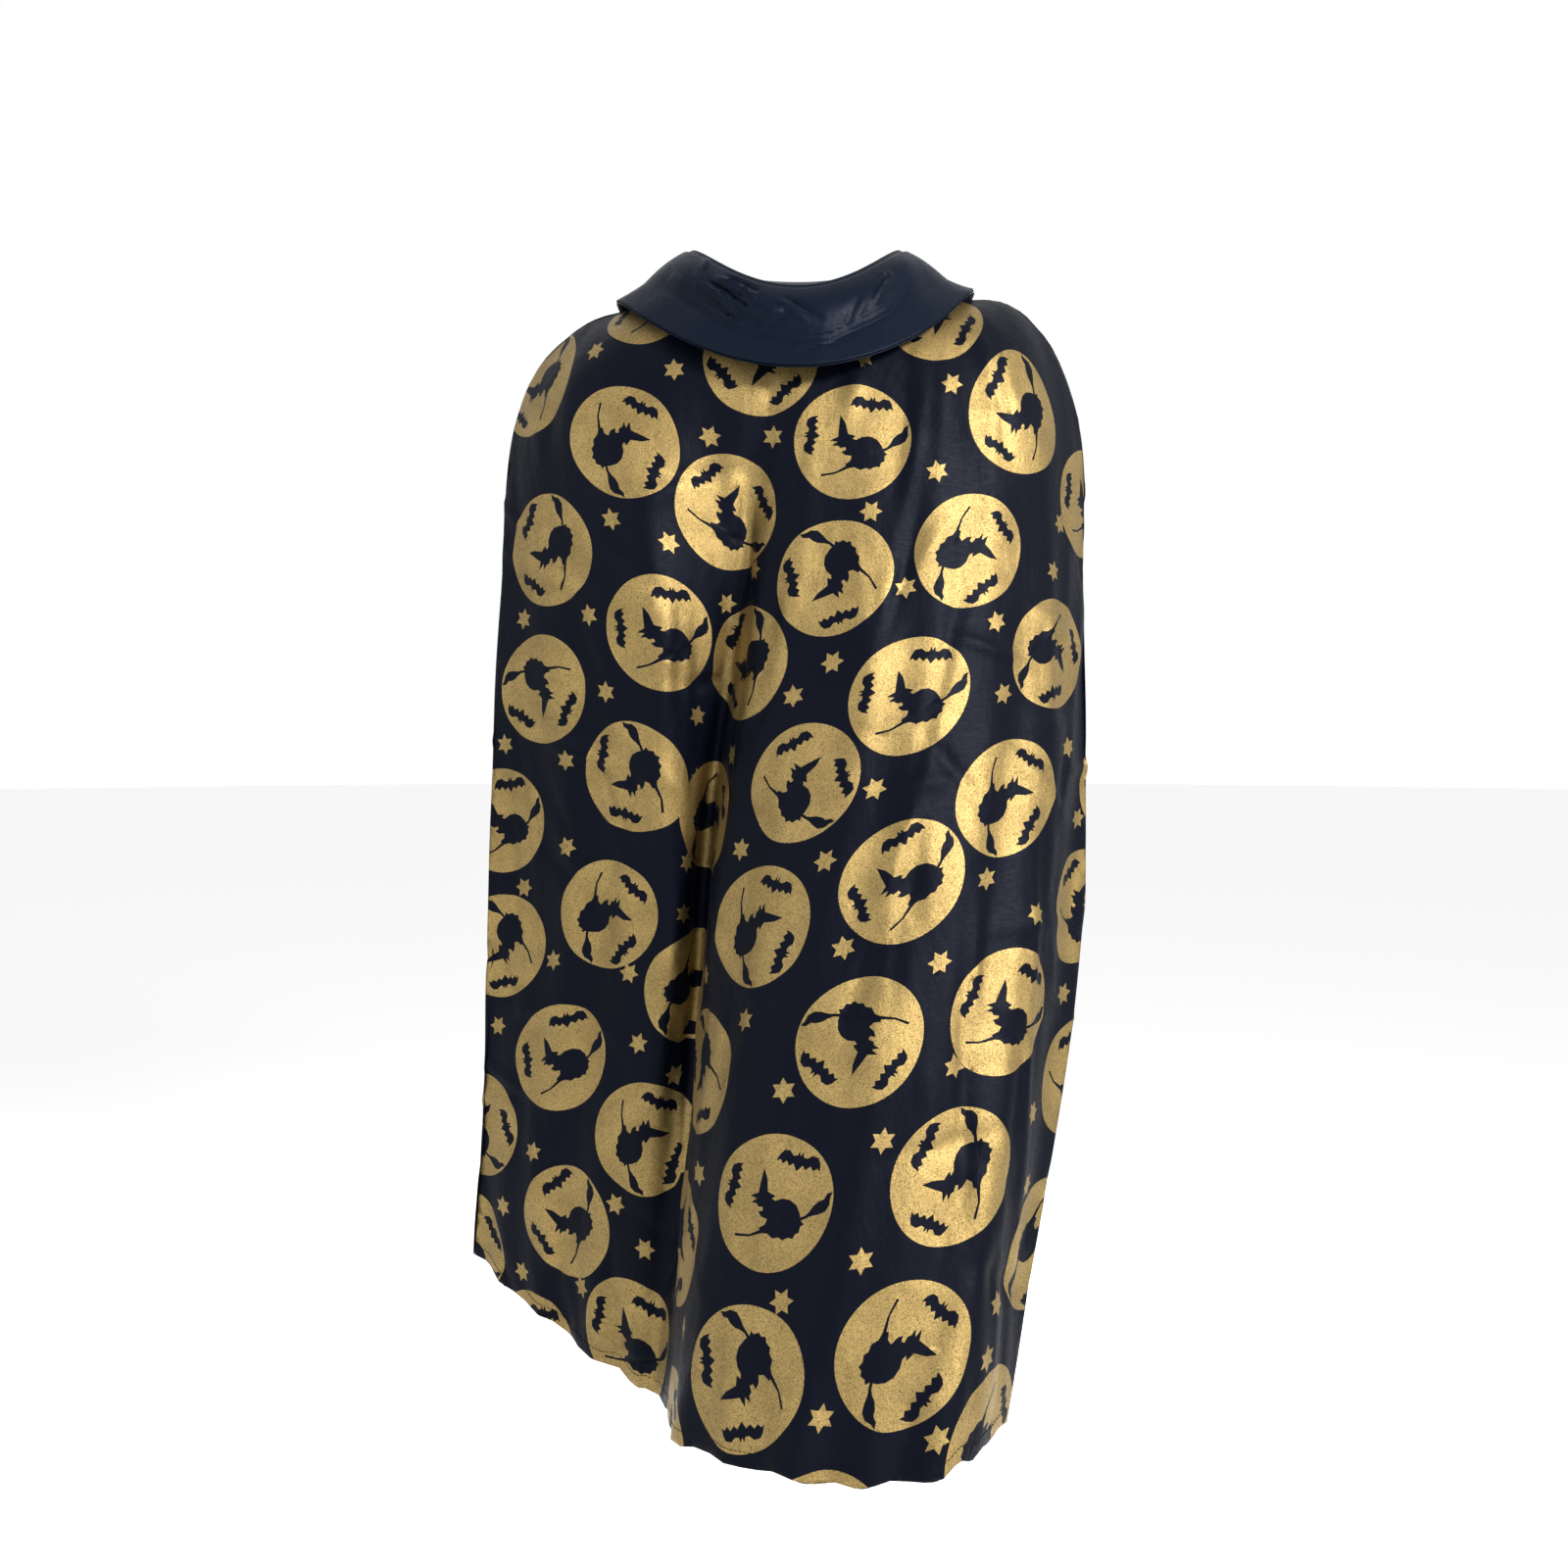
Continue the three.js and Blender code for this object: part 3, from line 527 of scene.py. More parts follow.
def new_material(name, colour, roughness, **sockets):
    """A Principled material with its constants on its own sockets; returns its tree and shader too."""
    material = bpy.data.materials.new(name)
    material.use_nodes = True
    tree = material.node_tree
    shader = tree.nodes["Principled BSDF"]
    shader.inputs["Base Color"].default_value = (*colour, 1)
    shader.inputs["Roughness"].default_value = roughness
    for socket, value in sockets.items():
        shader.inputs[socket.replace("_", " ")].default_value = value
    return material, tree, shader


def add_node(tree, kind, output, links, values, **settings):
    """A node with its settings, its constants and what feeds it; returns one of its outputs."""
    node = tree.nodes.new("ShaderNode" + kind)
    for name, value in settings.items():
        setattr(node, name, value)
    for socket, value in values.items():
        node.inputs[socket].default_value = value
    for socket, source in links.items():
        tree.links.new(source, node.inputs[socket])
    return node.outputs[output]


def place_nodes(tree, stretch=(1, 1, 1)):
    place = add_node(tree, "TexCoord", "Object", {}, {})
    return add_node(tree, "Mapping", "Vector", {"Vector": place}, {"Scale": stretch})


def noise(tree, vector, scale, detail=3.0, roughness=0.55):
    values = {"Scale": scale, "Detail": detail, "Roughness": roughness}
    return add_node(tree, "TexNoise", "Fac", {"Vector": vector}, values)


def ribs(tree, vector, scale, direction="Z", distortion=0.4):
    values = {"Scale": scale, "Distortion": distortion}
    return add_node(tree, "TexWave", "Fac", {"Vector": vector}, values, bands_direction=direction)


def mixed(tree, factor, first, second):
    """A colour between two, by a factor; the first may be another node's output."""
    values, links = {B_COLOUR: (*second, 1)}, {"Factor": factor}
    if isinstance(first, tuple):
        values[A_COLOUR] = (*first, 1)
    else:
        links[A_COLOUR] = first
    return add_node(tree, "Mix", MIX_RESULT, links, values, data_type="RGBA")


def spread(tree, value, low, high, to_low, to_high):
    values = {"From Min": low, "From Max": high, "To Min": to_low, "To Max": to_high}
    return add_node(tree, "MapRange", "Result", {"Value": value}, values)


def product(tree, a, b):
    return add_node(tree, "Math", "Value", {0: a, 1: b}, {}, operation="MULTIPLY")


def weave(tree, vector, scale):
    """Threads that cross."""
    return product(tree, ribs(tree, vector, scale, "Z"), ribs(tree, vector, scale, "X"))


def bump(tree, shader, height, strength, distance, under=None):
    links = {"Height": height}
    if under is not None:
        links["Normal"] = under
    normal = add_node(tree, "Bump", "Normal", links, {"Strength": strength, "Distance": distance})
    tree.links.new(normal, shader.inputs["Normal"])
    return normal


def crumpled(tree, shader, under):
    """Soft crumples over a finer bump."""
    bump(tree, shader, noise(tree, place_nodes(tree, (1.6, 1.6, 0.7)), 38, 4), 0.5, 0.0022, under)


def feed(tree, shader, **sources):
    """Links node outputs to the shader's sockets."""
    for socket, source in sources.items():
        tree.links.new(source, shader.inputs[socket.replace("_", " ")])


def scaled(colour, factor):
    return tuple(min(1.0, c * factor) for c in colour)


def satin_material(name, colour, roughness, threads):
    """Woven satin: fine threads, faint slubs, and colour that lifts where the nap catches light."""
    material, tree, shader = new_material(name, colour, roughness, Sheen_Weight=0.02, Sheen_Roughness=0.35,
                                          Sheen_Tint=(0.62, 0.66, 0.85, 1), Specular_IOR_Level=0.07,
                                          Specular_Tint=(0.72, 0.78, 1.0, 1))
    vector = place_nodes(tree)
    slubs = noise(tree, place_nodes(tree, (1, 1, 5)), 120)
    clouds = noise(tree, vector, 14, 4)
    feed(tree, shader, Base_Color=mixed(tree, clouds, scaled(colour, 0.8), scaled(colour, 1.35)),
         Roughness=spread(tree, slubs, 0.3, 0.7, roughness - 0.05, roughness + 0.07))
    crumpled(tree, shader, bump(tree, shader, weave(tree, vector, threads), 0.12, 0.0002))
    return material


def foil_material(name, colour, worn):
    """Gold foil printed on the weave: grainy, rubbed through in specks, brighter where it is smooth."""
    material, tree, shader = new_material(name, colour, 0.5, Metallic=0.85)
    vector = place_nodes(tree)
    grain = noise(tree, place_nodes(tree, (1, 1, 1.8)), 820, 2, 0.75)
    patches = noise(tree, vector, 30, 4)
    tone = mixed(tree, spread(tree, patches, 0.35, 0.68, 0, 1), scaled(colour, 0.82), scaled(colour, 1.12))
    rubbed = mixed(tree, spread(tree, grain, 0.47, 0.64, 0, 0.9), tone, worn)
    feed(tree, shader, Base_Color=rubbed, Roughness=spread(tree, grain, 0.3, 0.75, 0.38, 0.62))
    fine = bump(tree, shader, weave(tree, vector, 700), 0.25, 0.00025)
    crumpled(tree, shader, bump(tree, shader, grain, 0.35, 0.0003, fine))
    return material


def thread_material(name, colour):
    """Twisted thread."""
    material, tree, shader = new_material(name, colour, 0.7, Specular_IOR_Level=0.1)
    vector = place_nodes(tree)
    bump(tree, shader, ribs(tree, vector, 900, "DIAGONAL"), 0.5, 0.0001)
    fibres = noise(tree, vector, 300)
    feed(tree, shader, Base_Color=mixed(tree, fibres, scaled(colour, 0.75), scaled(colour, 1.25)))
    return material


def woven_material(name, colour, threads):
    """Matt woven tape, stiffening or label cloth."""
    material, tree, shader = new_material(name, colour, 0.8, Sheen_Weight=0.15)
    cloth = weave(tree, place_nodes(tree), threads)
    feed(tree, shader, Base_Color=mixed(tree, cloth, scaled(colour, 0.8), scaled(colour, 1.1)))
    bump(tree, shader, cloth, 0.4, 0.0003)
    return material


def snap_material(name, colour):
    """Nickel plate, dulled and finely scratched."""
    material, tree, shader = new_material(name, colour, 0.3, Metallic=1.0)
    vector = place_nodes(tree)
    bump(tree, shader, noise(tree, place_nodes(tree, (1, 1, 8)), 1500), 0.15, 0.00005)
    feed(tree, shader, Base_Color=mixed(tree, noise(tree, vector, 400), scaled(colour, 0.85), colour),
         Roughness=spread(tree, noise(tree, vector, 900), 0.3, 0.7, 0.22, 0.42))
    return material


MATERIALS = {}


def material(name):
    """One of the cape's materials, made once, with its colour from the colour properties."""
    if name not in MATERIALS:
        colours = bpy.context.scene.cape_colours
        make, title, *rest = {
            "satin": (satin_material, "navy_satin", colours.satin, 0.47, 1500),
            "reverse": (satin_material, "satin_reverse", colours.reverse, 0.62, 1300),
            "foil": (foil_material, "gold_foil", colours.foil, colours.worn),
            "collar": (satin_material, "collar_satin", colours.collar, 0.40, 1200),
            "tape": (woven_material, "matt_tape", colours.tape, 1100),
            "stiffening": (woven_material, "stiffening", (0.62, 0.6, 0.54), 800),
            "label": (woven_material, "label_cloth", (0.72, 0.71, 0.66), 1000),
            "thread": (thread_material, "sewing_thread", colours.thread),
            "edge_thread": (thread_material, "edge_thread", colours.edge_thread),
            "snap": (snap_material, "snap_nickel", (0.5, 0.51, 0.53)),
        }[name]
        rest = [value if isinstance(value, (int, float)) else tuple(value) for value in rest]
        MATERIALS[name] = make(title, *rest)
    return MATERIALS[name]


# ---- Making cloth objects ---------------------------------------------------------------------
def add_mesh(name, verts, faces, materials, slots=None):
    """A smooth-shaded object of a mesh, in the scene."""
    mesh = bpy.data.meshes.new(name)
    mesh.from_pydata(verts, [], faces)
    for entry in materials:
        mesh.materials.append(material(entry))
    if slots is not None:
        mesh.polygons.foreach_set("material_index", slots)
    mesh.polygons.foreach_set("use_smooth", [True] * len(faces))
    mesh.update()
    piece = bpy.data.objects.new(name, mesh)
    bpy.context.scene.collection.objects.link(piece)
    return piece


def stand_for(piece, slot, *nodes, body=None):
    """The piece is seen in place of CAD nodes; it rides the body, or the caller blends it over two."""
    if body:
        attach(piece, body)
    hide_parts(*nodes)


def closed_cloth(name, points, normals, faces, thickness, materials, kinds=None, under=0):
    """One closed piece of cloth: the outer faces, the same faces on its other side, and the cut edge."""
    count = len(points)
    inner = points - normals * thickness
    every = list(faces) + [tuple(i + count for i in reversed(face)) for face in faces]
    slots = list(kinds if kinds is not None else [0] * len(faces)) + [under] * len(faces)
    open_edges = {}
    for face in faces:
        for a, b in zip(face, face[1:] + face[:1]):
            if (b, a) in open_edges:
                del open_edges[(b, a)]
            else:
                open_edges[(a, b)] = True
    for a, b in open_edges:
        every.append((b, a, a + count, b + count))
        slots.append(under)
    return add_mesh(name, np.concatenate((points, inner)).tolist(), every, materials, slots)


def grid_faces(rows, columns, flip):
    faces = []
    for j in range(rows - 1):
        for i in range(columns - 1):
            a = j * columns + i
            quad = (a, a + columns, a + columns + 1, a + 1)
            faces.append(quad[::-1] if flip else quad)
    return faces


def grid_cloth(name, points, normals, thickness, cloth):
    """A closed piece from a grid of points, wound so that its outer faces look along the normals."""
    rows, columns = points.shape[:2]
    j, i = rows // 2, columns // 2
    facing = np.cross(points[j - 1, i] - points[j, i], points[j, i - 1] - points[j, i])
    faces = grid_faces(rows, columns, flip=np.dot(facing, normals[j, i]) < 0)
    return closed_cloth(name, points.reshape(-1, 3), normals.reshape(-1, 3), faces, thickness, (cloth,))


STITCH_SHARES = (0.10, 0.25, 0.5, 0.75, 0.90)  # of the pitch, with the thread's swell there
STITCH_SWELL = (0.35, 0.9, 1.0, 0.9, 0.35)
STITCH_SIDES = 6


def stitch_row(name, points, normals, pitch, thread, radius):
    """Separate stitches along a path over cloth, each a short thread that dips in at both ends."""
    length = lengths_along(points)
    count = max(1, int(length[-1] / pitch))
    verts, faces = [], []
    for n in range(count):
        start = len(verts)
        for share, fat in zip(STITCH_SHARES, STITCH_SWELL):
            s = (n + share) * length[-1] / count
            centre, up = on_path(s, length, points), on_path(s, length, normals)
            along = on_path(s + 1e-4, length, points) - on_path(s - 1e-4, length, points)
            across = np.cross(up, along)
            across /= np.linalg.norm(across) + 1e-12
            for k in range(STITCH_SIDES):
                angle = 2 * math.pi * k / STITCH_SIDES
                spoke = across * math.cos(angle) + up * (math.sin(angle) + 0.5)
                verts.append(tuple(centre + radius * fat * spoke))
        last = start + (len(STITCH_SHARES) - 1) * STITCH_SIDES
        for ring_start in range(start, last, STITCH_SIDES):
            for k in range(STITCH_SIDES):
                a, b = ring_start + k, ring_start + (k + 1) % STITCH_SIDES
                faces.append((a, b, b + STITCH_SIDES, a + STITCH_SIDES))
        faces.append(tuple(start + k for k in reversed(range(STITCH_SIDES))))
        faces.append(tuple(last + k for k in range(STITCH_SIDES)))
    return add_mesh(name, verts, faces, (thread,))


# ---- The panels as they hang ----------------------------------------------------------------------------
DRAPES = {}
BACK_GRID = (193, 241)  # columns, rows
FRONT_GRID = (97, 201)
MIDDLE_THREAD = BACK_GRID[0] // 2
SIDES = {"left": -1, "right": 1}


def drape_of(panel):
    if panel not in DRAPES:
        if panel == "back":
            u = np.linspace(0, THREADS, BACK_GRID[0])
            v = np.linspace(0, 1, BACK_GRID[1])
            creases = scattered_creases(11, 110, (-0.33, -0.95), (0.34, -0.12))
            creases += hanging_creases(31, 60, (-0.33, -0.92), (0.34, -0.14))
            DRAPES[panel] = Drape(back_points(u, v), 1, MIDDLE_THREAD, creases)
        else:
            sign = SIDES[panel]
            s = np.linspace(0, 1, FRONT_GRID[0])
            points = front_points(sign, s, np.linspace(0, 1, FRONT_GRID[1]))
            creases = scattered_creases(23 + sign, 60, (-0.02, -0.9), (0.38, -0.1))
            creases += hanging_creases(37 + sign, 30, (-0.02, -0.9), (0.38, -0.14))
            DRAPES[panel] = Drape(points, sign, 0, creases)
    return DRAPES[panel]


def panel_cloth(name, panel, moons, stars):
    """A printed panel, cut along its print and laid over its drape."""
    sizes = bpy.context.scene.cape_sizes
    drape = drape_of(panel)
    flat, faces, gold = cut_panel(drape, moons, stars, sizes.moon_radius, sizes.star_radius, sizes.print_step)
    used = np.unique(np.array(faces).ravel())
    slot_of = np.full(len(flat), -1)
    slot_of[used] = np.arange(len(used))
    faces = [tuple(int(slot_of[i]) for i in face) for face in faces]
    points, normals = drape.at(drape.locate(flat[used]))
    a, b, c = (points[i] for i in faces[len(faces) // 2])
    if np.dot(np.cross(b - a, c - a), normals[faces[len(faces) // 2][0]]) < 0:
        faces = [face[::-1] for face in faces]
    kinds = [1 if shiny else 0 for shiny in gold]
    cloths = ("satin", "foil", "reverse")
    under = cloths.index("reverse")
    return closed_cloth(name, points, normals, faces, SATIN_THICKNESS, cloths, kinds, under)


def fold_with_front(piece, side):
    """The piece bends across its front's crease."""
    sign = SIDES[side]
    top = CREASE_TOP * (sign, 1, 1)
    foot = CREASE_FOOT[sign]
    inward = FRONT_CORNER * (sign, 1, 1) - foot
    down = (foot - top) / np.linalg.norm(foot - top)
    inward -= down * np.dot(inward, down)
    inward /= np.linalg.norm(inward)
    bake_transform(piece)


def strip_places(drape, columns, rows):
    """Points and normals of a drape over the given column and row places."""
    grid = np.stack(np.meshgrid(columns, rows), axis=-1)
    points, normals = drape.at(grid.reshape(-1, 2))
    return points.reshape(grid.shape[:2] + (3,)), normals.reshape(grid.shape[:2] + (3,))


def row_above_hem(drape, distance):
    """The row place that lies a distance above the hem."""
    rows = drape.points.shape[0]
    gap = np.linalg.norm(drape.points[-1] - drape.points[-2], axis=-1).mean()
    return rows - 1 - distance / gap


def back_piece():
    """Hang the printed back panel"""
    drape = drape_of("back")
    moons = [(x / 100, -y / 100, turn) for x, y, turn in BACK_MOONS]
    stars = [(x / 100, -y / 100, 17 * n % 60) for n, (x, y) in enumerate(BACK_STARS)]
    piece = panel_cloth("back_panel_cloth", "back", moons, stars)
    stand_for(piece, "satin", "back_panel", body="shell")


def front_pieces():
    """Hang the two printed fronts"""
    sizes = bpy.context.scene.cape_sizes
    for side, sign in SIDES.items():
        drape = drape_of(side)
        low, high = drape.flat.reshape(-1, 2).min(axis=0), drape.flat.reshape(-1, 2).max(axis=0)
        moons = tossed_moons(7 + sign, low - 0.03, high + 0.05, sizes.moon_pitch)
        stars = stars_between(9 + sign, moons, low, high, sizes.moon_radius + STAR_CLEARANCE, STAR_PITCH)
        piece = panel_cloth(f"front_cloth_{side}", side, moons, stars)
        stand_for(piece, "satin", f"front_side_{side}", f"front_edge_{side}")
        fold_with_front(piece, side)


HEM_INSET = 0.0011  # hems and facings lie this far inside the outer face
TAPE_THICKNESS = 0.0005
STITCH_IN = 0.002  # from a turning's free edge to its stitches
STITCH_PITCH = 0.0034
STITCH_RADIUS = 0.00028
TAPE_HALF_WIDTH = 0.007
TAPE_INSET = 0.0022


def inner_strip(name, drape, columns, rows, entry="reverse"):
    """A narrow cloth just inside a panel, over the given column and row places."""
    points, normals = strip_places(drape, columns, rows)
    piece = grid_cloth(name, points - normals * HEM_INSET, normals, TAPE_THICKNESS, entry)
    return piece


def stitch_line(name, drape, columns, rows):
    """Stitches that show on a panel's face along column and row places."""
    points, normals = drape.at(np.stack((columns, rows), axis=-1))
    return stitch_row(name, points, normals, STITCH_PITCH, "thread", STITCH_RADIUS)


def turned_hem(prefix, suffix, drape, columns):
    """A panel's hem, turned up inside it, and the hem's stitches."""
    width = bpy.context.scene.cape_sizes.hem_width
    last = drape.points.shape[0] - 1.0
    rows = np.linspace(row_above_hem(drape, width), last, 5)
    hem = inner_strip(f"{prefix}_hem_turning{suffix}", drape, columns, rows)
    stitched = np.full(len(columns), row_above_hem(drape, width - STITCH_IN))
    return hem, stitch_line(f"{prefix}_hem_stitches{suffix}", drape, columns, stitched)


def hem_pieces():
    """Turn and stitch the hems"""
    hem, stitches = turned_hem("back", "", drape_of("back"), np.linspace(2, BACK_GRID[0] - 3, 181))
    stand_for(hem, "satin", "back_hem", body="shell")
    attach(stitches, "shell")
    for side in SIDES:
        columns = np.linspace(2, FRONT_GRID[0] - 1.0, 90)
        hem, stitches = turned_hem("front", f"_{side}", drape_of(side), columns)
        stand_for(hem, "satin", f"side_hem_{side}", f"edge_hem_{side}")
        fold_with_front(hem, side)
        fold_with_front(stitches, side)


def facing_pieces():
    """Face the front opening"""
    width = bpy.context.scene.cape_sizes.facing_width
    for side in SIDES:
        drape = drape_of(side)
        edge = FRONT_GRID[0] - 1.0
        rows = np.linspace(3, FRONT_GRID[1] - 1.0, 120)
        steps = np.linalg.norm(np.diff(drape.points, axis=1), axis=-1).mean(axis=1)
        step = np.interp(rows, np.arange(FRONT_GRID[1]), steps)
        columns = edge - np.linspace(1, 0, 5) * (width / step)[:, None]
        grid = np.stack((columns, np.repeat(rows[:, None], 5, axis=1)), axis=-1)
        points, normals = (a.reshape(grid.shape[:2] + (3,)) for a in drape.at(grid.reshape(-1, 2)))
        inner = points - normals * (HEM_INSET + TAPE_THICKNESS)
        piece = grid_cloth(f"facing_cloth_{side}", inner, normals, TAPE_THICKNESS, "reverse")
        stand_for(piece, "satin", f"edge_facing_{side}")
        fold_with_front(piece, side)
        stitches = stitch_line(f"facing_stitches_{side}", drape, edge - (width - STITCH_IN) / step, rows)
        fold_with_front(stitches, side)


def seam_tape_pieces():
    """Tape the side seams"""
    back = drape_of("back")
    for side, sign in SIDES.items():
        v = np.linspace(0.08, 1, 90)
        seam_column = 0 if sign < 0 else BACK_GRID[0] - 1
        down = v * (BACK_GRID[1] - 1)
        near_back, back_normals = strip_places(back, np.array([abs(seam_column - 3.0)]), down)
        on_seam, seam_normals = strip_places(back, np.array([float(seam_column)]), down)
        near_front, front_normals = strip_places(drape_of(side), np.array([2.0]), v * (FRONT_GRID[1] - 1))
        normals = (seam_normals + front_normals + back_normals)[:, 0]
        normals /= np.linalg.norm(normals, axis=1, keepdims=True)
        to_back, to_front = ((near - on_seam)[:, 0] for near in (near_back, near_front))
        to_back /= np.linalg.norm(to_back, axis=1, keepdims=True)
        to_front /= np.linalg.norm(to_front, axis=1, keepdims=True)
        reaches = ((to_back, 1), (to_back, 0.5), (to_back, 0), (to_front, 0.5), (to_front, 1))
        middle = on_seam[:, 0] - normals * TAPE_INSET
        points = np.stack([middle + way * TAPE_HALF_WIDTH * share for way, share in reaches], axis=1)
        normals = np.repeat(normals[:, None], len(reaches), axis=1)
        piece = grid_cloth(f"side_seam_tape_{side}", points, normals, TAPE_THICKNESS, "tape")
        stand_for(piece, "tape", f"seam_tape_{side}", body="shell")


def binding_piece():
    """Bind the neck seam"""
    drape = drape_of("back")
    columns = np.linspace(4, BACK_GRID[0] - 5, 120)
    gap = np.linalg.norm(drape.points[1] - drape.points[0], axis=-1).mean()
    rows = np.linspace(0.4, bpy.context.scene.cape_sizes.binding_width / gap, 5)
    piece = inner_strip("neck_binding_tape", drape, columns, rows, entry="tape")
    stand_for(piece, "tape", "neck_binding", body="shell")


# ---- Collar -----------------------------------------------------------------------------------
STAND_SHARE = 0.24  # of the collar's width, from its foot up to the roll
# The break, where the fall bends out over the neck seam: degrees round the neck, and shares of the fall.
BREAK_DEGREES = (-75, -56, -30, -20, -5, 10, 18, 34, 47, 75)
BREAK_SHARES = (0.42, 0.50, 0.55, 0.60, 0.64, 0.67, 0.61, 0.56, 0.43, 0.36)
# Crumples of the fall: from one place to another in degrees and shares, half-width and rise in millimetres.
COLLAR_CRUMPLES = (((-36, 0.26), (-16, 0.33), 1.7, -5.6), ((-34, 0.17), (-15, 0.24), 2.1, 3.0),
                   ((-42, 0.39), (-20, 0.55), 1.8, -5.4), ((-39, 0.32), (-17, 0.44), 1.9, 4.2),
                   ((-15, 0.56), (-5, 0.38), 1.6, -4.8), ((-11, 0.60), (-2, 0.43), 1.8, 2.6),
                   ((-6, 0.25), (10, 0.53), 1.7, 2.4), ((-9, 0.30), (4, 0.52), 1.5, -2.0),
                   ((29, 0.49), (43, 0.27), 1.8, -4.2), ((33, 0.50), (46, 0.33), 2.2, 1.6),
                   ((-50, 0.08), (-43, 0.24), 1.9, -2.6), ((16, 0.64), (25, 0.36), 2.2, 1.1),
                   ((20, 0.62), (28, 0.38), 1.8, -1.4), ((-1, 0.92), (1, 0.72), 1.5, -1.3),
                   ((-3, 0.86), (17, 0.76), 1.9, 1.2), ((-58, 0.44), (-44, 0.47), 1.7, -1.8),
                   ((-27, 0.48), (-22, 0.30), 1.5, 2.4), ((-24, 0.54), (-12, 0.47), 1.4, -2.6),
                   ((-31, 0.44), (-27, 0.24), 1.4, -2.2), ((-19, 0.40), (-13, 0.20), 1.4, -1.8),
                   ((37, 0.44), (40, 0.20), 1.4, -1.8), ((-46, 0.30), (-40, 0.46), 1.6, -1.8),
                   ((95, 0.2), (110, 0.6), 4.0, -1.8), ((-100, 0.5), (-118, 0.25), 4.0, -1.8),
                   ((130, 0.3), (142, 0.7), 3.5, 1.4), ((-135, 0.35), (-150, 0.65), 3.5, 1.4))
MM_PER_DEGREE = 2.2  # round the fall
FALL_MM = 82
SAG_MM = 5.0  # how far the fall sinks in between the roll and the break
BREAK_MM = (2.0, 1.9)  # depth and half-width of the break
LIFT_MM = (1.4, 5.5, 4.5)  # how high the cloth lifts past it, how far past and half-width


def collar_grid(columns=541, rows=116):
    """The collar's one piece of cloth: up the stand, over the roll and down the fall."""
    angles = np.linspace(-COLLAR_END, COLLAR_END, columns)
    foot, roll, edge = (ring(angles, **line) for line in (NECK_SEAM, ROLL_LINE, COLLAR_EDGE))
    w = np.linspace(0, 1, rows)[:, None, None]
    up = np.clip(w / STAND_SHARE, 0, 1)
    down = np.clip((w - STAND_SHARE) / (1 - STAND_SHARE), 0, 1)
    out = np.stack((np.sin(angles), -np.cos(angles), np.full(columns, 0.9)), axis=-1)[None]
    swell = 0.0022 * np.sin(np.pi * np.minimum(down * 1.6, 1))
    points = foot + (roll - foot) * (0.1 + 0.9 * up) + (edge - roll) * down + out * swell
    for _ in range(2):  # the roll is pressed, but still round
        points[1:-1] = (points[:-2] + 2 * points[1:-1] + points[2:]) / 4
    points = held_up(points)
    normals = grid_normals(points, -1)
    degrees = np.degrees(angles)[None]
    fall = down[..., 0]
    bend = np.interp(degrees, BREAK_DEGREES, BREAK_SHARES)
    near_back = smooth_step((80 - np.abs(degrees)) / 35)
    inner = np.clip(fall / bend, 0, 1)
    height = -SAG_MM * near_back * np.sin(np.pi * inner**1.3)
    past = (fall - bend) * FALL_MM
    height -= BREAK_MM[0] * near_back * np.exp(-(past / BREAK_MM[1]) ** 2)
    height += LIFT_MM[0] * near_back * np.exp(-((past - LIFT_MM[1]) / LIFT_MM[2]) ** 2)
    height += 0.25 * np.sin(degrees * 0.31 + 3 * fall) * smooth_step(fall * 2)
    for (d0, f0), (d1, f1), wide, rise in COLLAR_CRUMPLES:
        along = np.array(((d1 - d0) * MM_PER_DEGREE, (f1 - f0) * FALL_MM))
        length = np.hypot(*along)
        x, y = (degrees - d0) * MM_PER_DEGREE, (fall - f0) * FALL_MM
        share = (x * along[0] + y * along[1]) / length**2
        off = (x * along[1] - y * along[0]) / length
        curve = 0.06 * length * (1 - (2 * share - 1) ** 2)
        height += rise * np.exp(-((off - curve) / wide) ** 2) * np.clip(1 - np.abs(2 * share - 1) ** 3, 0, 1)
    height *= smooth_step(fall / 0.10) * (0.15 + 0.85 * smooth_step((1 - fall) / 0.10))
    points = points + normals * height[..., None] / 1000
    return points, grid_normals(points, -1), fall[:, 0]


COLLAR_THICKNESS = 0.0007
EDGE_STITCH_PITCH = 0.0026
EDGE_STITCH_RADIUS = 0.00032
EDGE_STITCH_ROW = -3  # of the collar's grid
# Layers inside the fall: name, CAD node, cloth, slot, shares of the fall spanned, depth in and thickness.
COLLAR_LAYERS = (
    ("collar_stiffening", "collar_interfacing", "stiffening", "interfacing", (0.16, 0.88), 0.0010, 0.0004),
    ("collar_under_leaf", "under_collar", "collar", "collar_cloth", (0.04, None), 0.0018, 0.0007),
)
UNDER_LEAF_IN = 4  # rows by which the under leaf starts later


def collar_pieces():
    """Turn down the collar and stitch its edge"""
    points, normals, fall = collar_grid()
    piece = grid_cloth("collar_cloth", points, normals, COLLAR_THICKNESS, "collar")
    stand_for(piece, "collar_cloth", "upper_collar", "collar_stand", body="shell")
    for name, node, cloth, slot, (low, high), depth_in, thickness in COLLAR_LAYERS:
        start = int(np.argmax(fall > low)) + (0 if high else UNDER_LEAF_IN)
        stop = int(np.argmax(fall > high)) if high else len(points)
        part, facing = points[start:stop:2, ::2], normals[start:stop:2, ::2]
        leaf = grid_cloth(name, part - facing * depth_in, facing, thickness, cloth)
        stand_for(leaf, slot, node, body="shell")
    stitches = stitch_row("collar_edge_stitches", points[EDGE_STITCH_ROW], normals[EDGE_STITCH_ROW],
                          EDGE_STITCH_PITCH, "edge_thread", EDGE_STITCH_RADIUS)
    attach(stitches, "shell")


# ---- Throat tab, snap and label ---------------------------------------------------------------
CORNER_STEPS = 12
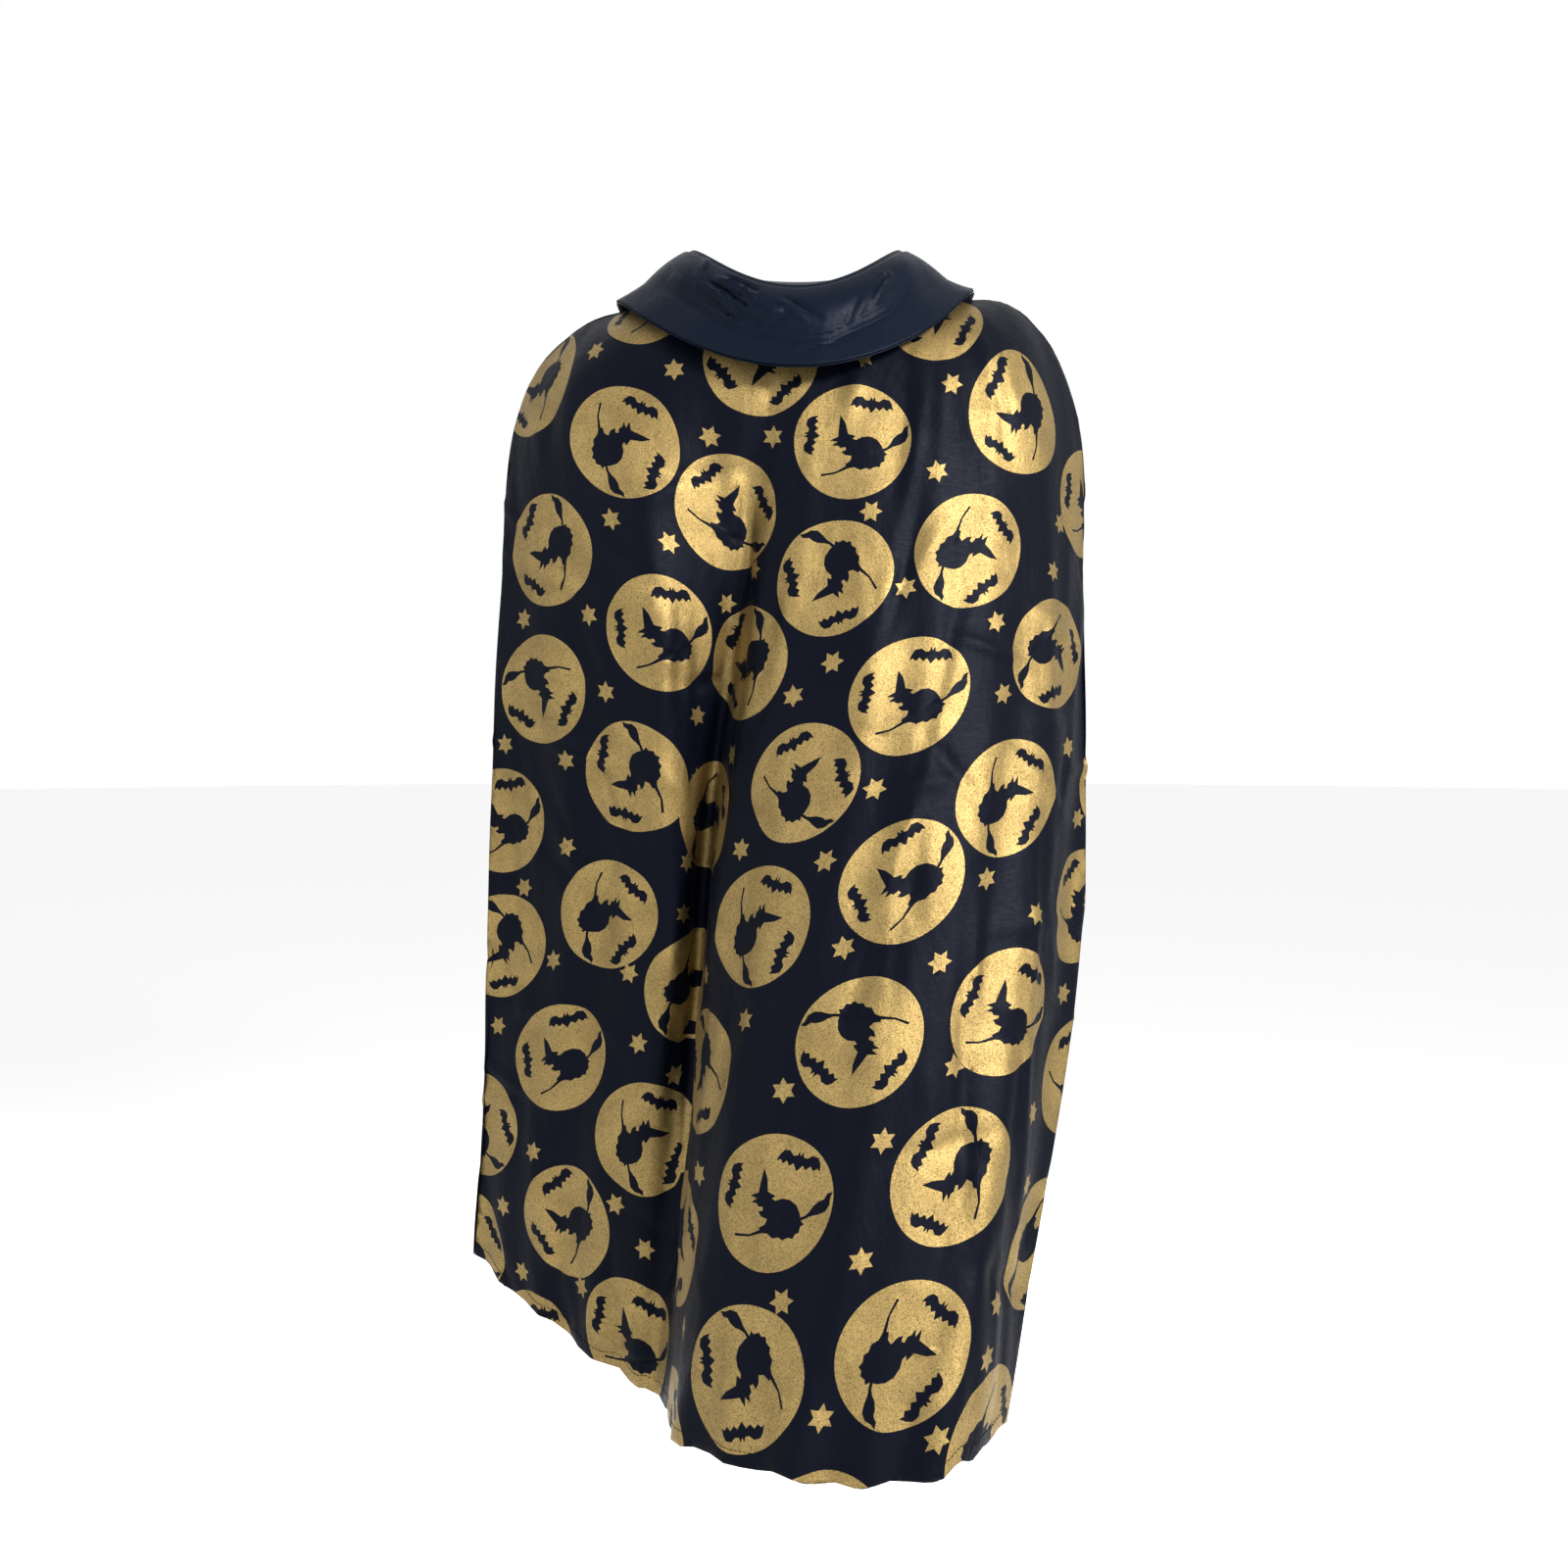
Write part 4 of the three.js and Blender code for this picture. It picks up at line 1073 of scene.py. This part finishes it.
# A soft block's section from its front to its back: shares of its reach and of its half-depth.
PAD_PROFILE = ((0.55, 1.0), (0.8, 0.97), (0.93, 0.80), (0.985, 0.5), (1.0, 0.0),
               (0.985, -0.5), (0.93, -0.80), (0.8, -0.97), (0.55, -1.0))
TAB_CORNER = 0.0028
TAB_SWELL = 0.12
TAB_STITCH_IN = 0.0022
TAB_STITCH_RADIUS = 0.0002
TAB_STITCH_SUNK = 0.00005


def soft_block(name, low, high, cloth, corner, swell):
    """A small sewn pad: rounded corners, crowned faces and a pulled-in edge, within its own box."""
    low, high = np.array(low), np.array(high)
    half = (high - low) / 2
    middle = (low + high) / 2
    rim = []
    for sx, sz, start in ((1, 1, 0), (-1, 1, 90), (-1, -1, 180), (1, -1, 270)):
        for k in range(CORNER_STEPS):
            angle = math.radians(start + 90 * k / (CORNER_STEPS - 1))
            rim.append((sx * (half[0] - corner) + corner * math.cos(angle),
                        sz * (half[2] - corner) + corner * math.sin(angle)))
    verts, faces = [], []
    for reach, rise in PAD_PROFILE:
        crown = 1 - swell + swell * math.cos(reach * math.pi / 2)
        for x, z in rim:
            verts.append((middle[0] + x * reach, middle[1] + half[1] * rise * crown, middle[2] + z * reach))
    rings, count = len(PAD_PROFILE), len(rim)
    for r in range(rings - 1):
        for k in range(count):
            a, b = r * count + k, r * count + (k + 1) % count
            faces.append((a, a + count, b + count, b))
    for r, rise in ((0, 1), (rings - 1, -1)):
        centre = len(verts)
        verts.append((middle[0], middle[1] + half[1] * rise, middle[2]))
        for k in range(count):
            a, b = r * count + k, r * count + (k + 1) % count
            faces.append((a, b, centre) if rise > 0 else (b, a, centre))
    return add_mesh(name, verts, faces, (cloth,))


def tab_pieces():
    """Sew the throat tab and finish its snap"""
    parts = (("tab_base", "shell", "tab_sewn_end"), ("throat_tab", "tab", "throat_tab_cloth"))
    for node, body, name in parts:
        low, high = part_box(node)
        piece = soft_block(name, low, high, "collar", TAB_CORNER, TAB_SWELL)
        stand_for(piece, "collar_cloth", node, body=body)
        x = np.linspace(low[0] + TAB_STITCH_IN, high[0] - TAB_STITCH_IN, 24)
        for label, z in (("top", high[2] - TAB_STITCH_IN), ("bottom", low[2] + TAB_STITCH_IN)):
            path = np.stack((x, np.full(24, high[1] - TAB_STITCH_SUNK), np.full(24, z)), axis=-1)
            outward = np.tile((0.0, 1.0, 0.0), (24, 1))
            stitches = stitch_row(f"{name}_stitches_{label}", path, outward, EDGE_STITCH_PITCH,
                                  "edge_thread", TAB_STITCH_RADIUS)
            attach(stitches, body)
    for node in ("snap_stud", "snap_socket"):
        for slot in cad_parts[node].material_slots:
            slot.material = material("snap")


LABEL_CURL = 0.0016
LABEL_THICKNESS = 0.0004


def label_piece():
    """Hang the blank label"""
    low, high = (np.array(corner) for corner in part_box("care_label"))
    x = np.linspace(low[0], high[0], 15)
    z = np.linspace(high[2], low[2], 25)
    gx, gz = np.meshgrid(x, z)
    drop = (high[2] - gz) / (high[2] - low[2])
    y = high[1] + LABEL_CURL * drop**2 * np.cos((gx - low[0]) / (high[0] - low[0]) * math.pi)
    points = np.stack((gx, y, gz), axis=-1)
    normals = grid_normals(points, 1)
    if normals[12, 7, 1] < 0:
        normals = -normals
    piece = grid_cloth("blank_care_label", points, normals, LABEL_THICKNESS, "label")
    stand_for(piece, "label", "care_label", body="label")


# ---- Stage ------------------------------------------------------------------------------------
CAMERA_DISTANCE = 1.10
CAMERA_HEIGHT = -0.4365
CAMERA_LENS = 28.46
CAMERA_SIDE = -0.0104
VIEW_SHIFT = -0.0231
FLOOR_RADIUS = 40
FLOOR_HEIGHT = -1.6
FLOOR_CORNERS = 64
# Lamps: name, place, what each looks at, size, watts and colour.
LAMPS = (("key", (1.5, -1.9, 0.55), (0, -0.1, -0.5), 0.6, 105, (1.0, 0.97, 0.93)),
         ("fill", (-1.9, -1.5, 0.2), (0, 0, -0.5), 1.4, 12, (0.93, 0.96, 1.0)),
         ("front_fill", (0.6, 2.2, 0.4), (0, 0, -0.5), 1.2, 60, (1.0, 1.0, 1.0)))


def area_light(name, place, target, size, watts, colour):
    data = bpy.data.lights.new(name, "AREA")
    data.shape = "DISK"
    data.size = size
    data.energy = watts
    data.color = colour
    lamp = bpy.data.objects.new(name, data)
    lamp.location = place
    lamp.rotation_euler = (Vector(target) - Vector(place)).to_track_quat("-Z", "Y").to_euler()
    bpy.context.scene.collection.objects.link(lamp)


def stage():
    """Set the camera, the lights and the floor"""
    scene = bpy.context.scene
    camera = bpy.data.cameras.new("camera")
    camera.lens = CAMERA_LENS
    camera.sensor_width = 36
    camera.shift_y = VIEW_SHIFT
    camera.clip_start = 0.01
    holder = bpy.data.objects.new("camera", camera)
    holder.location = (CAMERA_SIDE, -CAMERA_DISTANCE, CAMERA_HEIGHT)
    holder.rotation_euler = (math.pi / 2, 0, 0)
    scene.collection.objects.link(holder)
    scene.camera = holder
    world = bpy.data.worlds.new("pale_studio")
    scene.world = world
    world.use_nodes = True
    sky = world.node_tree.nodes["Background"]
    sky.inputs["Color"].default_value = (1.0, 1.0, 1.0, 1)
    sky.inputs["Strength"].default_value = 1.0
    floor_mesh = bpy.data.meshes.new("pale_floor")
    turns = [2 * math.pi * k / FLOOR_CORNERS for k in range(FLOOR_CORNERS)]
    rim = [(FLOOR_RADIUS * math.cos(turn), FLOOR_RADIUS * math.sin(turn), FLOOR_HEIGHT) for turn in turns]
    floor_mesh.from_pydata(rim, [], [tuple(range(FLOOR_CORNERS))])
    floor = bpy.data.objects.new("pale_floor", floor_mesh)
    scene.collection.objects.link(floor)
    floor_mesh.materials.append(new_material("pale_floor", (0.92, 0.92, 0.92), 0.9)[0])
    for lamp in LAMPS:
        area_light(*lamp)
    scene.view_settings.view_transform = "Standard"


# ---- Add-on -----------------------------------------------------------------------------------
def length_setting(name, note, default):
    return FloatProperty(name=name, description=note, default=default, unit="LENGTH")


def colour_setting(name, note, *default):
    return FloatVectorProperty(name=name, description=note, default=default, subtype="COLOR")


class CapeSizes(bpy.types.PropertyGroup):
    """Sizes of the print and the sewing."""

    moon_radius: length_setting("Moon Radius", "Radius of each printed moon", 0.048)
    star_radius: length_setting("Star Radius", "Centre to point of each printed star", 0.0095)
    moon_pitch: length_setting("Moon Pitch", "Spacing of the tossed moons", 0.124)
    print_step: length_setting("Cloth Step", "Spacing of the cloth's own points", 0.0052)
    hem_width: length_setting("Hem Width", "Depth of the turned hem", 0.012)
    facing_width: length_setting("Facing Width", "Depth of the front facings", 0.018)
    binding_width: length_setting("Binding Width", "Depth of the neck binding", 0.011)


class CapeColours(bpy.types.PropertyGroup):
    """Colours of the cloths, the foil and the threads."""

    satin: colour_setting("Satin", "Colour of the satin", 0.0010, 0.0016, 0.0042)
    reverse: colour_setting("Reverse", "Colour of the satin's dull side", 0.0016, 0.0022, 0.0050)
    foil: colour_setting("Foil", "Colour of the gold foil", 0.30, 0.213, 0.078)
    worn: colour_setting("Worn Foil", "Colour where the foil is rubbed", 0.085, 0.055, 0.018)
    collar: colour_setting("Collar", "Colour of the collar's satin", 0.0020, 0.0042, 0.0095)
    tape: colour_setting("Tape", "Colour of the tapes", 0.010, 0.013, 0.022)
    thread: colour_setting("Thread", "Colour of the hem's thread", 0.0016, 0.0022, 0.0050)
    edge_thread: colour_setting("Edge Thread", "Colour of the collar edge's thread", 0.22, 0.20, 0.17)


def piece_operator(label, build):
    """An operator class that runs one piece's builder, with the builder's own docstring."""
    def execute(self, context):
        build()
        return {"FINISHED"}

    idname = label.lower().replace(" ", "_")
    told = {"__doc__": build.__doc__, "bl_idname": "cape." + idname, "bl_label": label, "execute": execute}
    return type("CAPE_OT_" + idname, (bpy.types.Operator,), told)


OPERATORS = (
    piece_operator("Stage", stage),
    piece_operator("Back Panel", back_piece),
    piece_operator("Front Panels", front_pieces),
    piece_operator("Hems", hem_pieces),
    piece_operator("Facings", facing_pieces),
    piece_operator("Seam Tapes", seam_tape_pieces),
    piece_operator("Neck Binding", binding_piece),
    piece_operator("Collar", collar_pieces),
    piece_operator("Throat Tab", tab_pieces),
    piece_operator("Care Label", label_piece),
)


class CAPE_PT_pieces(bpy.types.Panel):
    """The cape's pieces in the sidebar."""

    bl_idname = "CAPE_PT_pieces"
    bl_label = "Costume Cape"
    bl_space_type = "VIEW_3D"
    bl_region_type = "UI"
    bl_category = "Cape"

    def draw(self, context):
        for operator in OPERATORS:
            self.layout.operator(operator.bl_idname)
        for group in (context.scene.cape_sizes, context.scene.cape_colours):
            for name in group.__annotations__:
                self.layout.prop(group, name)


CLASSES = (CapeSizes, CapeColours, *OPERATORS, CAPE_PT_pieces)


def register():
    for entry in CLASSES:
        bpy.utils.register_class(entry)
    bpy.types.Scene.cape_sizes = bpy.props.PointerProperty(type=CapeSizes)
    bpy.types.Scene.cape_colours = bpy.props.PointerProperty(type=CapeColours)


def unregister():
    del bpy.types.Scene.cape_colours
    del bpy.types.Scene.cape_sizes
    for entry in reversed(CLASSES):
        bpy.utils.unregister_class(entry)


def main():
    register()
    for operator in OPERATORS:
        group, name = operator.bl_idname.split(".")
        getattr(getattr(bpy.ops, group), name)()


if __name__ == "__main__":
    main()
